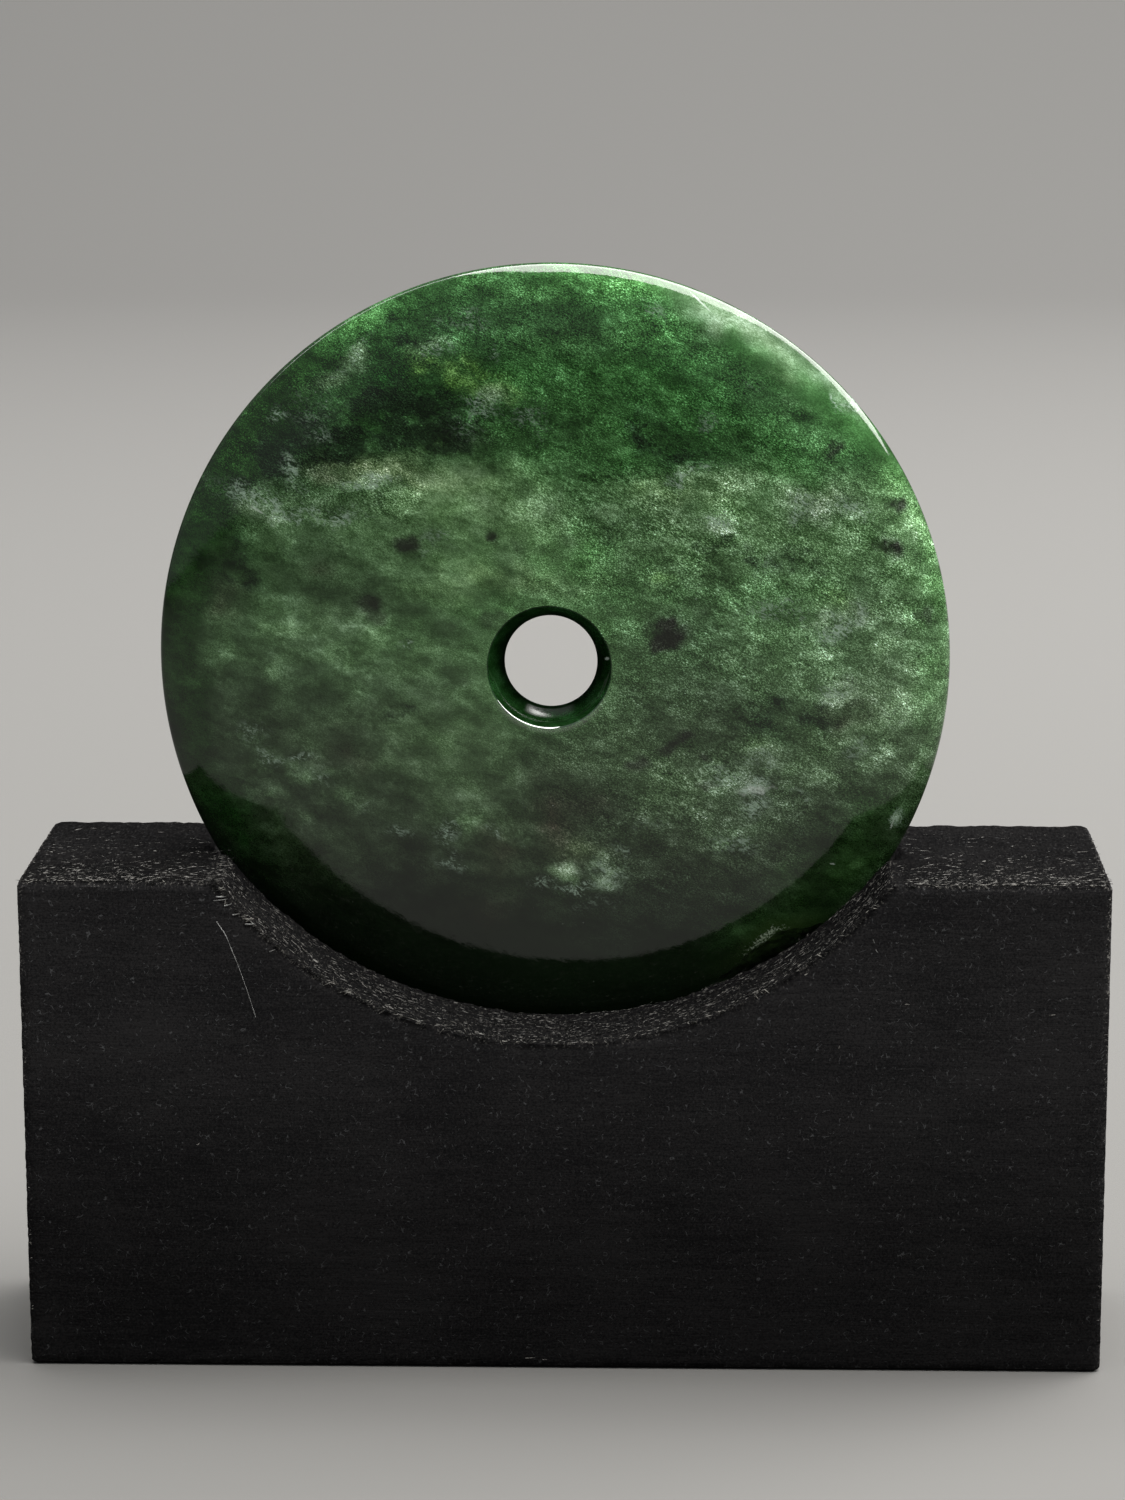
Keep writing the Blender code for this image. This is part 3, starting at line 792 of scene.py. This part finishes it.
    # the rim's sides are painted darker than the faces, as shade, and the upper face is less polished
    fromMiddle = np.hypot(plain[:, 0], plain[:, 1])
    side = smooth(1.0, 0.0, plain[:, 2]) * smooth(-2.6, -1.6, plain[:, 2]) * smooth(19.0, 26.0, fromMiddle)
    tints = [tint * (1.0 - stone["sideShade"] * side)[:, None] for tint in tints]
    dull = stone["dullness"] * smooth(-2.0, 16.0, plain[:, 1]) * smooth(26.0, 22.5, fromMiddle)
    matt = np.maximum(matt, dull)
    layers = {
        "stoneGround": tints[0],
        "stoneCloud": tints[1],
        "stoneShares": np.stack([1.0 - clear[:, 0], felt, flecks], axis=1),
        "stoneMarks": np.stack([crushedAndLit, matt, 1.0 - light[:, 0]], axis=1),
        "stoneGloss": np.stack([lip, lip, lip], axis=1),
    }
    for name, values in layers.items():
        writeLayer(obj, name, values)


def makeStone(name, broken):
    material, tree, shader = newMaterial(name, stone["brokenRoughness"])
    coordinates = put(tree, "TexCoord").outputs["Object"]
    onDisc = ownPlace(tree, coordinates, discCentre, discPlace.to_euler(), (mm, mm, mm))
    ground, cloud = readLayer(tree, "stoneGround"), readLayer(tree, "stoneCloud")
    cloudShare, feltShare, flecks = splitLayer(tree, "stoneShares")
    crushedAndLit, matt, darkShare = splitLayer(tree, "stoneMarks")

    # clouds with ragged edges over the ground
    ragged = useGroup(tree, warpGroup, Place=onDisc, Scale=1.4, Amount=0.8, Detail=3.0)["Place"]
    torn = grain(tree, ragged, 1.1, 5.0, 0.72, (1.3, 0.85, 1.0), -18.0)
    reach = compute(tree, "ADD", cloudShare, 0.15)
    reach = compute(tree, "MULTIPLY_ADD", swing(tree, torn, 3.4), reach, cloudShare)
    crisp = ramp(tree, reach, 0.12, 0.72)
    share = compute(tree, "MULTIPLY_ADD", crisp, 0.65, compute(tree, "MULTIPLY", cloudShare, 0.35))
    green = blendColour(tree, share, ground, cloud)
    reach = compute(tree, "ADD", darkShare, 0.10)
    reach = compute(tree, "MULTIPLY_ADD", swing(tree, torn, -2.6), reach, darkShare)
    green = blendColour(tree, ramp(tree, reach, 0.08, 0.80, 0.0, 0.94), green, stone["dark"])

    # felted fibres: light ones are paler, dark ones are deeper in colour
    grains = grain(tree, onDisc, 10.0, 1.0, 0.8, (1.5, 0.8, 1.0), -32.0)
    felt = grain(tree, ragged, 1.5, 4.0, 0.58, (1.7, 0.75, 1.0), -28.0)
    lumps = grain(tree, ragged, 0.55, 3.0, 0.60, (1.5, 0.75, 1.0), -12.0)
    tone = swing(tree, felt, 3.4, swing(tree, grains, 8.5))
    tone = compute(tree, "MULTIPLY", tone, feltShare)
    uneven = swing(tree, lumps, compute(tree, "MULTIPLY", feltShare, 2.5, clamp=True))
    tone = compute(tree, "MULTIPLY_ADD", uneven, 4.6, tone)
    shares = [compute(tree, "MULTIPLY", tone, part) for part in (1.20, 1.0, 1.34)]
    red, lift, blue = (compute(tree, "POWER", 2.0, share) for share in shares)
    lifts = put(tree, "CombineXYZ", X=red, Y=lift, Z=blue).outputs[0]
    green = onVector(tree, "MULTIPLY", green, i1=lifts)

    # clusters of white grains
    salt = grain(tree, ragged, 4.6, 3.0, 0.7, (1.9, 0.7, 1.0), -25.0)
    reach = compute(tree, "MULTIPLY_ADD", flecks, 0.10, swing(tree, torn, 0.6, salt))
    near = ramp(tree, flecks, 0.05, 0.9, 0.0, 0.8)
    shown = compute(tree, "MULTIPLY", ramp(tree, reach, 0.53, 0.70), near)
    green = blendColour(tree, shown, green, stone["fleck"])

    # crushed grains at the chip, partly painted light through its thin edge, and single specks
    grit = grain(tree, onDisc, 6.0, 3.0, 0.7)
    reach = compute(tree, "MULTIPLY_ADD", crushedAndLit, 0.30, grit)
    covered = compute(tree, "MULTIPLY", crushedAndLit, 2.2, clamp=True)
    worn = compute(tree, "MULTIPLY", ramp(tree, reach, 0.66, 0.84), covered)
    green = blendColour(tree, worn, green, stone["crushedAndLit"])
    specks = useGroup(tree, dustGroup, Place=onDisc, Cells=1.3, Share=0.12, Size=0.08)["Specks"]
    specks = compute(tree, "MULTIPLY", specks, ramp(tree, feltShare, 0.3, 1.0, 0.2, 0.8))
    green = blendColour(tree, specks, green, stone["speck"])

    # the light marks and the dark inclusions, one by one
    fine = ramp(tree, grains, 0.34, 0.62, 0.35, 1.0)
    drawn = [(mark, stone["speck"], 0.7) for mark in stone["marks"]]
    drawn += [(spot, paints["inclusion"], 0.4) for spot in stone["spots"]]
    for (x, y, z, halfLength, halfHeight, strength, turn), colour, core in drawn:
        thin = halfHeight < stone["thin"]
        turns, size = (0.0, 0.0, math.radians(turn)), (halfLength, halfHeight, 1.2)
        inside = ownPlace(tree, onDisc if thin else ragged, (x, y, z), turns, size)
        away = put(tree, "VectorMath", {"operation": "LENGTH"}, i0=inside).outputs["Value"]
        away = swing(tree, grains, 1.2, away)
        if thin:
            share = ramp(tree, away, 1.1, core, 0.0, strength)
        else:
            away = swing(tree, torn, 3.0, away)
            share = compute(tree, "MULTIPLY", ramp(tree, away, 1.3, core - 0.2, 0.0, strength), fine)
        green = blendColour(tree, share, green, colour)

    if broken:
        # painted light: the broken faces lie in shade and are made up to five times lighter in patches
        facets = ramp(tree, grain(tree, onDisc, 1.8, 5.0, 0.7), 0.3, 0.7, 0.6, 5.0)
        green = onVector(tree, "SCALE", green, Scale=facets)
        addBump(tree, shader, grain(tree, onDisc, 2.0, 6.0, 0.7), *stone["brokenBump"])
    else:
        rough = ramp(tree, felt, 0.3, 0.7, stone["roughness"] - 0.02, stone["roughness"] + 0.03)
        tree.links.new(compute(tree, "MULTIPLY_ADD", matt, 0.4, rough), shader.inputs["Roughness"])
        tree.links.new(compute(tree, "MULTIPLY_ADD", matt, -0.5, 0.5), shader.inputs["Specular IOR Level"])
        addBump(tree, shader, felt, *stone["bump"])
        gloss = put(tree, "Attribute", {"attribute_name": "stoneGloss"}).outputs["Fac"]
        tree.links.new(gloss, shader.inputs["Coat Weight"])
        shader.inputs["Coat IOR"].default_value = stone["coatIor"]
        shader.inputs["Coat Roughness"].default_value = stone["coatRoughness"]
    tree.links.new(green, shader.inputs["Base Color"])
    shader.inputs["IOR"].default_value = stone["ior"]
    return material


# Stand

standLow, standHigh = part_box("wooden_stand")

stand = {
    "voxel": 0.00036,
    "black": (0.0252, 0.0243, 0.0247),
    "deepBlack": (0.0114, 0.0112, 0.0118),
    "bareWood": (0.235, 0.225, 0.205),
    "dust": (0.110, 0.112, 0.115),
    "roughness": 0.9,
    "cradleRadius": 0.0318,
    "cradleX": -0.00079,
    "cradleFloor": 0.02567,
    "sawDepth": 0.05,  # relief of the sawn faces, in millimetres
    "roughDepth": 0.13,  # relief of the cradle and the top faces
    "tearDepth": 0.22,  # how far the edges are torn back
    "bump": (0.7, 0.00006),  # strength and height
}


def makeGrainGroup():
    # wood fibres along X: dark and light streaks, and short broken ones of bare wood
    inputs = {"Place": None, "Scale": 4.0, "Bare": 0.1}
    tree, given, result = newGroup("woodFibres", inputs, {"Streaks": "Float", "Bare": "Float"})
    place, scale = given["Place"], given["Scale"]
    long = put(tree, "Mapping", Vector=place, Scale=(0.10, 1.0, 1.0)).outputs[0]
    streaks = put(tree, "TexNoise", Vector=long, Scale=scale, Detail=5.0, Roughness=0.7)
    short = put(tree, "Mapping", Vector=place, Scale=(0.45, 1.0, 1.0), Location=(3.0, 7.0, 1.0)).outputs[0]
    torn = put(tree, "TexNoise", Vector=short, Scale=scale, Detail=4.0, Roughness=0.75)
    reach = compute(tree, "MULTIPLY_ADD", given["Bare"], 0.20, torn.outputs[0])
    tree.links.new(streaks.outputs[0], result["Streaks"])
    tree.links.new(ramp(tree, reach, 0.74, 0.86), result["Bare"])
    return tree


def makeWood():
    material, tree, shader = newMaterial("black stained wood", stand["roughness"], 0.0)
    place = inMillimetres(tree)
    rough, edge, paintedShade = splitLayer(tree, "woodMarksAndShade")
    bare = compute(tree, "MAXIMUM", rough, edge)
    fibres = useGroup(tree, fibreGroup, Place=place, Scale=4.0, Bare=bare)
    broad = grain(tree, place, 0.16, 3.0, 0.5, (1.7, 1.0, 1.0))
    fuzz = grain(tree, place, 6.0, 2.0, 0.7, (1.0, 4.0, 1.0))
    tone = swing(tree, fibres["Streaks"], 1.3, 0.55)
    tone = swing(tree, fuzz, 3.6, tone)
    tone = swing(tree, broad, 1.6, tone, clamp=True)
    black = blendColour(tree, tone, stand["deepBlack"], stand["black"])

    # curly dust fibres are short stretches of thin contour lines
    curls = grain(tree, place, 1.5, 1.0, 0.5)
    line = compute(tree, "ABSOLUTE", compute(tree, "SUBTRACT", curls, 0.5))
    pieces = ramp(tree, grain(tree, place, 2.1, 2.0, 0.6), 0.56, 0.62)
    dusty = compute(tree, "MULTIPLY", ramp(tree, line, 0.022, 0.004), pieces)
    black = blendColour(tree, compute(tree, "MULTIPLY", dusty, 0.60), black, stand["dust"])

    # dust specks, large and small, and bare wood
    specks = useGroup(tree, dustGroup, Place=place, Cells=0.8, Share=0.40, Size=0.075)["Specks"]
    black = blendColour(tree, specks, black, stand["dust"])
    fine = useGroup(tree, dustGroup, Place=place, Cells=2.4, Share=0.12, Size=0.16)["Specks"]
    black = blendColour(tree, compute(tree, "MULTIPLY", fine, 0.40), black, stand["dust"])
    reach = compute(tree, "MULTIPLY_ADD", bare, 0.10, fuzz)
    fuzzy = compute(tree, "MULTIPLY", ramp(tree, reach, 0.63, 0.76), bare)
    black = blendColour(tree, compute(tree, "MAXIMUM", fibres["Bare"], fuzzy), black, stand["bareWood"])
    # the painted shade darkens the stain's colour
    shaded = onVector(tree, "SCALE", black, Scale=compute(tree, "SUBTRACT", 1.0, paintedShade))
    tree.links.new(shaded, shader.inputs["Base Color"])
    addBump(tree, shader, fibres["Streaks"], *stand["bump"])
    return material


def carveWood(obj):
    # saw marks, rough cut faces and torn edges as relief, all of it inwards, the places of bare wood and
    # the painted shade of the faces
    points = obj.data.vertices
    places, normals = np.empty(3 * len(points)), np.empty(3 * len(points))
    points.foreach_get("co", places)
    points.foreach_get("normal", normals)
    places, normals = places.reshape(-1, 3), normals.reshape(-1, 3)
    x, y, z = (places / mm).T
    low, high = np.array(standLow) / mm, np.array(standHigh) / mm
    radius = stand["cradleRadius"] / mm
    axisX, axisZ = stand["cradleX"] / mm, stand["cradleFloor"] / mm + radius
    inCradle = np.hypot(x - axisX, z - axisZ) - radius

    # how near each point is to an edge, and how far it belongs to the cradle and to what faces up
    front, back, top = y - low[1], high[1] - y, high[2] - z
    distances = np.stack([front, back, x - low[0], high[0] - x, top, z - low[2], np.abs(inCradle)])
    distances.sort(axis=0)
    edge = 1.0 - smooth(0.1, 0.7, distances[1])
    cradle = (1.0 - smooth(0.3, 0.8, np.abs(inCradle))) * (z < high[2] + 0.1)
    up = np.maximum(smooth(0.3, 0.8, normals[:, 2]), cradle * smooth(-0.2, 0.3, normals[:, 2]))

    # the relief of the sawn faces, the rough cut ones and the torn edges
    around = np.arctan2(x - axisX, axisZ - z) * radius
    lumps, strokes, saw, tears, fibre = [], [], [], [], []
    for px, py, pz, arc in zip(x, y, z, around):
        lumps.append(noise.fractal(Vector((0.6 * px, py, pz)) / 0.8, 0.7, 2.0, 3))
        strokes.append(noise.noise(Vector((arc / 4.5, py / 0.65, 3.0))))
        saw.append(noise.noise(Vector((px / 9.0, py / 9.0, pz / 0.7))))
        tears.append(noise.fractal(Vector((px / 1.1, py / 0.7, pz / 0.6)), 0.8, 2.0, 3))
        fibre.append(noise.fractal(Vector((px / 3.0, py / 0.8, pz / 0.8)), 0.8, 2.0, 2))
    lumps, strokes, saw, tears, fibre = map(np.array, (lumps, strokes, saw, tears, fibre))
    sawn = np.clip(0.55 + 0.55 * saw + 0.35 * fibre, 0.0, 1.2) * (0.55 + 0.45 * smooth(24.0, 6.0, z))
    coarse = np.clip(0.5 + 0.55 * lumps + 0.6 * cradle * strokes, 0.0, 1.4)
    depth = stand["sawDepth"] * sawn * (1.0 - up) + stand["roughDepth"] * coarse * up
    depth += stand["tearDepth"] * edge * np.clip(tears + 0.1, 0.0, 1.0)
    depth *= 1.0 - smooth(0.3, 0.7, -normals[:, 2])
    moved = places - normals * depth[:, None] * mm
    points.foreach_set("co", moved.ravel())

    # where bare wood shows on rough faces and on worn edges, and the painted shade: the front darker
    # towards the bottom, the faces that look up much darker, the cradle a little less
    nearFront = np.exp(-front / 4.0) + 0.5 * np.exp(-back / 2.5)
    topShare = up * (1.0 - cradle) * (0.25 + 0.65 * nearFront)
    rough = np.clip(0.5 * np.maximum(topShare, 0.9 * cradle), 0.0, 1.0)
    worn = edge * (0.40 + 0.35 * smooth(20.0, 34.0, z))
    paintedShade = 0.5 * smooth(30.0, 4.0, z) * (1.0 - up) + up * (0.78 - 0.09 * cradle)
    writeLayer(obj, "woodMarksAndShade", np.stack([rough, worn, paintedShade], axis=1))
    obj.data.update()


def makeStand():
    wood = bpy.data.objects.new("stainedStand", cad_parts["wooden_stand"].data.copy())
    bpy.context.scene.collection.objects.link(wood)
    wood.data.materials.clear()
    only(wood)
    bpy.ops.object.mode_set(mode="EDIT")
    bpy.ops.mesh.select_all(action="SELECT")
    bpy.ops.mesh.remove_doubles(threshold=0.000002)
    bpy.ops.object.mode_set(mode="OBJECT")
    wood.modifiers.new("even faces", "REMESH")
    wood.modifiers["even faces"].mode = "VOXEL"
    wood.modifiers["even faces"].voxel_size = stand["voxel"]
    bpy.ops.object.modifier_apply(modifier="even faces")
    carveWood(wood)
    wood.data.materials.append(makeWood())
    bpy.ops.object.shade_smooth_by_angle(angle=math.radians(40.0))
    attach(wood, "root")
    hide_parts("wooden_stand")


# Torn fibres and lint

splinters = {
    "seed": 7,
    "thickness": 0.00008,
    "looseThickness": 0.00005,
    "looseLength": 0.00090,
    "inset": 0.0003,  # how far inside the block's ends and back
    "cover": 0.00001,  # how far inside the old faces they keep
    "paleAbove": 32.0,  # the front's chips above this height are the palest
    "rows": [
        # edge, from, to, how many, length, the way they point
        ("cradle", -53.0, -44.0, 30, 0.00140, -1), ("cradle", -44.0, -8.0, 80, 0.00080, -1),
        ("cradle", -8.0, 26.0, 30, 0.00045, 1), ("cradle", 26.0, 52.0, 18, 0.00050, 1),
        ("top", -40.5, -26.2, 34, 0.00050, -1), ("top", 25.8, 40.6, 44, 0.00055, 1),
        ("right", 37.6, 30.5, 16, 0.00060, 1), ("right", 28.5, 20.0, 12, 0.00050, 1),
        ("right", 13.5, 2.0, 14, 0.00040, 1), ("left", 37.5, 3.0, 26, 0.00035, -1),
    ],
    "bits": [
        # light chips of fibre on the front: X, Z, length, lean in degrees
        (23.05, 33.9, 0.6, -72), (23.25, 33.1, 0.45, -60), (18, 31.1, 0.35, 20), (36.2, 28.1, 0.7, 4),
        (38.3, 24.2, 0.22, -40), (25.5, 28.9, 0.6, -8), (-2.9, 0.8, 0.9, 2), (-1.6, 0.7, 0.6, -3),
        (-27.6, 17.6, 0.3, 30), (39.6, 12, 0.5, 10), (31, 35.8, 0.25, 50), (20.6, 25.4, 0.4, 65),
        (-26, 36.6, 1.1, 3), (-25.8, 36.9, 0.8, -4), (-23.7, 34.8, 0.8, -3), (-24.6, 35.5, 0.55, 6),
        (-25.2, 36.2, 0.6, 9), (-21.9, 32.7, 0.5, 12), (-20.4, 31.3, 0.45, 8),
    ],
    "loose": [
        # surface, from, to, how many, how far behind the front they reach, and how far at most
        ("top", -40.3, -25.6, 560, 5.0, 19.0), ("top", 25.0, 40.3, 500, 5.0, 19.0),
        ("cradle", -52.0, 51.0, 1500, 60.0, 8.2),
    ],
}

hair = {
    "radius": 0.000026,
    "colours": ((0.16, 0.16, 0.155), (0.42, 0.42, 0.41)),
    # X and Z along the front of the stand, in millimetres
    "path": [
        (-25.8, 35), (-25.5, 34.5), (-25.1, 34), (-24.8, 33), (-24.1, 31.3), (-23.5, 29.3), (-23, 27.6),
    ],
}


def makeBareWood(name, patches, dull, pale):
    material, tree, shader = newMaterial(name, 0.8, 0.1)
    place = inMillimetres(tree)
    fibres = useGroup(tree, fibreGroup, Place=place, Scale=6.0, Bare=0.8)
    tone = ramp(tree, grain(tree, place, patches, 3.0, 0.6), 0.48, 0.66)
    colour = blendColour(tree, tone, dull, pale)
    colour = blendColour(tree, compute(tree, "MULTIPLY", fibres["Bare"], 0.3), colour, stand["bareWood"])
    tree.links.new(colour, shader.inputs["Base Color"])
    addBump(tree, shader, fibres["Streaks"], 0.5, 0.00002)
    return material


def makeSplinter():
    # one torn fibre along X, a unit long and a unit thick, tapered and a little bent
    upright = (0.0, math.pi / 2, 0.0)
    bpy.ops.mesh.primitive_circle_add(vertices=5, radius=0.5, fill_type="NGON", rotation=upright)
    splinter = bpy.context.object
    bpy.ops.object.transform_apply(rotation=True)
    bpy.ops.object.mode_set(mode="EDIT")
    for reach, lift, scale in ((0.35, 0.10, 0.95), (0.35, 0.25, 0.70), (0.30, 0.45, 0.25)):
        bpy.ops.mesh.extrude_region_move(TRANSFORM_OT_translate={"value": (reach, 0.0, lift)})
        bpy.ops.transform.resize(value=(scale, scale, scale))
    bpy.ops.mesh.select_all(action="SELECT")
    bpy.ops.mesh.normals_make_consistent(inside=False)
    bpy.ops.object.mode_set(mode="OBJECT")
    return splinter


def copySplinter(first, material, size, *turns, place):
    # one more fibre of this length, width and height, turned and put in its place
    piece = first.copy()
    piece.data = first.data.copy()
    piece.data.materials.append(material)
    bpy.context.scene.collection.objects.link(piece)
    change = Matrix.Translation(place)
    for turn in turns:
        change = change @ turn
    piece.data.transform(change @ Matrix.Diagonal((*size, 1.0)))
    return piece


def edgePlace(edge, value):
    # a place on one of the front edges, by the angle round the cradle or by X or Z in millimetres
    front = standLow.y + splinters["cover"] + splinters["thickness"] / 2
    if edge == "cradle":
        angle = math.radians(value)
        x = stand["cradleX"] + stand["cradleRadius"] * math.sin(angle)
        z = stand["cradleFloor"] + stand["cradleRadius"] * (1.0 - math.cos(angle))
        return Vector((x, front, min(z, standHigh.z - splinters["cover"])))
    if edge == "top":
        return Vector((value * mm, front, standHigh.z - splinters["cover"] - splinters["thickness"] / 2))
    side = standHigh.x - splinters["inset"] if edge == "right" else standLow.x + splinters["inset"]
    return Vector((side, front, value * mm))


def loosePlace(surface, value, depth):
    # a place on the top face or in the cradle, with the directions along it and out of it
    y = min(standLow.y + 0.0001 + depth * mm, standHigh.y - splinters["inset"])
    angle = 0.0 if surface == "top" else math.radians(value)
    along = Vector((math.cos(angle), 0.0, math.sin(angle)))
    out = Vector((-math.sin(angle), 0.0, math.cos(angle)))
    if surface == "top":
        return Vector((value * mm, y, standHigh.z - 0.00006)), along, out
    axis = Vector((stand["cradleX"], y, stand["cradleFloor"] + stand["cradleRadius"]))
    return axis - out * (stand["cradleRadius"] + 0.00004), along, out


def makeLooseFibres(first, dice):
    # short fibres that lie on the rough top faces and in the cradle
    material = makeBareWood("loose dull fibres", 3.0, (0.0012, 0.0012, 0.0011), (0.180, 0.173, 0.163))
    pieces = []
    for surface, start, end, count, reach, most in splinters["loose"]:
        for _ in range(count):
            depth = min(dice.expovariate(1.0 / reach), dice.uniform(0.0, most))
            place, along, out = loosePlace(surface, dice.uniform(start, end), depth)
            lean = dice.gauss(0.0, 0.45)
            along = along * math.cos(lean) + Vector((0.0, 1.0, 0.0)) * math.sin(lean)
            turn = Matrix((along, out.cross(along), out)).transposed().to_4x4()
            thick = splinters["looseThickness"] * dice.uniform(0.6, 1.2)
            size = (splinters["looseLength"] * dice.uniform(0.3, 1.5), thick, thick)
            pieces.append(copySplinter(first, material, size, turn, place=place))
    return pieces


def makeSplinters():
    first = makeSplinter()
    material = makeBareWood("torn bare fibres", 1.4, (0.010, 0.010, 0.009), stand["bareWood"])
    dice = random.Random(splinters["seed"])
    pieces = []
    for edge, start, end, count, length, way in splinters["rows"]:
        for _ in range(count):
            place = edgePlace(edge, dice.uniform(start, end))
            long = length * dice.uniform(0.35, 1.3)
            thick = splinters["thickness"] * dice.uniform(0.45, 1.0)
            if edge in ("left", "right"):
                long *= 0.5
            lean = Matrix.Rotation(dice.gauss(0.0, 0.6), 4, "Y")
            spin = Matrix.Rotation(dice.uniform(-0.6, 0.6), 4, "X")
            size = (long, thick, thick * dice.uniform(0.7, 1.2))
            heading = Matrix.Rotation(0.0 if way > 0 else math.pi, 4, "Y")
            place.x -= way * 0.3 * long
            place.y += dice.uniform(0.0, splinters["thickness"])
            pieces.append(copySplinter(first, material, size, heading @ lean, spin, place=place))
    palest = makeBareWood("pale fibre chips", 1.4, (0.120, 0.120, 0.115), (0.360, 0.360, 0.350))
    for x, z, length, lean in splinters["bits"]:
        thick = splinters["thickness"]
        place = Vector((x * mm, standLow.y + thick / 2, z * mm))
        turn = Matrix.Rotation(-math.radians(lean), 4, "Y")
        finish = palest if z > splinters["paleAbove"] else material
        pieces.append(copySplinter(first, finish, (length * mm, thick, 1.3 * thick), turn, place=place))
    pieces += makeLooseFibres(first, dice)
    bpy.data.objects.remove(first)
    bpy.ops.object.select_all(action="DESELECT")
    for piece in pieces:
        piece.select_set(True)
    bpy.context.view_layer.objects.active = pieces[0]
    bpy.ops.object.join()
    torn = bpy.context.object
    torn.name = "tornFibres"
    keepInside(torn)
    bpy.ops.object.shade_smooth_by_angle(angle=math.radians(50.0))
    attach(torn, "root")


def keepInside(obj):
    # nothing on the wood stands out past the block's own faces
    for vert in obj.data.vertices:
        vert.co = Vector(min(max(vert.co[part], standLow[part]), standHigh[part]) for part in range(3))


def makeHair():
    # one lint hair on the front of the stand
    bpy.ops.object.select_all(action="DESELECT")
    bpy.ops.curve.primitive_nurbs_path_add()
    lint = bpy.context.object
    spline = lint.data.splines[0]
    spline.points.add(len(hair["path"]) - len(spline.points))
    front = standLow.y + hair["radius"]
    for point, (x, z) in zip(spline.points, hair["path"]):
        point.co = (x * mm, front, z * mm, 1.0)
        point.radius = 1.0
    spline.use_endpoint_u = True
    spline.order_u = 4
    spline.resolution_u = 8
    lint.data.bevel_depth = hair["radius"]
    lint.data.bevel_resolution = 1
    lint.data.use_fill_caps = True
    bpy.ops.object.convert(target="MESH")
    lint = bpy.context.object
    lint.name = "lintHair"
    material, tree, shader = newMaterial("pale lint")
    tone = ramp(tree, grain(tree, inMillimetres(tree), 0.8, 2.0, 0.5), 0.35, 0.65)
    tree.links.new(blendColour(tree, tone, *hair["colours"]), shader.inputs["Base Color"])
    lint.data.materials.append(material)
    bpy.ops.object.shade_smooth()
    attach(lint, "root")


makeCamera()
makeStudio()
print("camera, lamps and floor made")
dustGroup = makeDustGroup()
warpGroup = makeWarpGroup()
fibreGroup = makeGrainGroup()
makeDisc()
print("disc made")
makeStand()
print("stand made")
makeSplinters()
makeHair()
print("torn fibres and lint made")
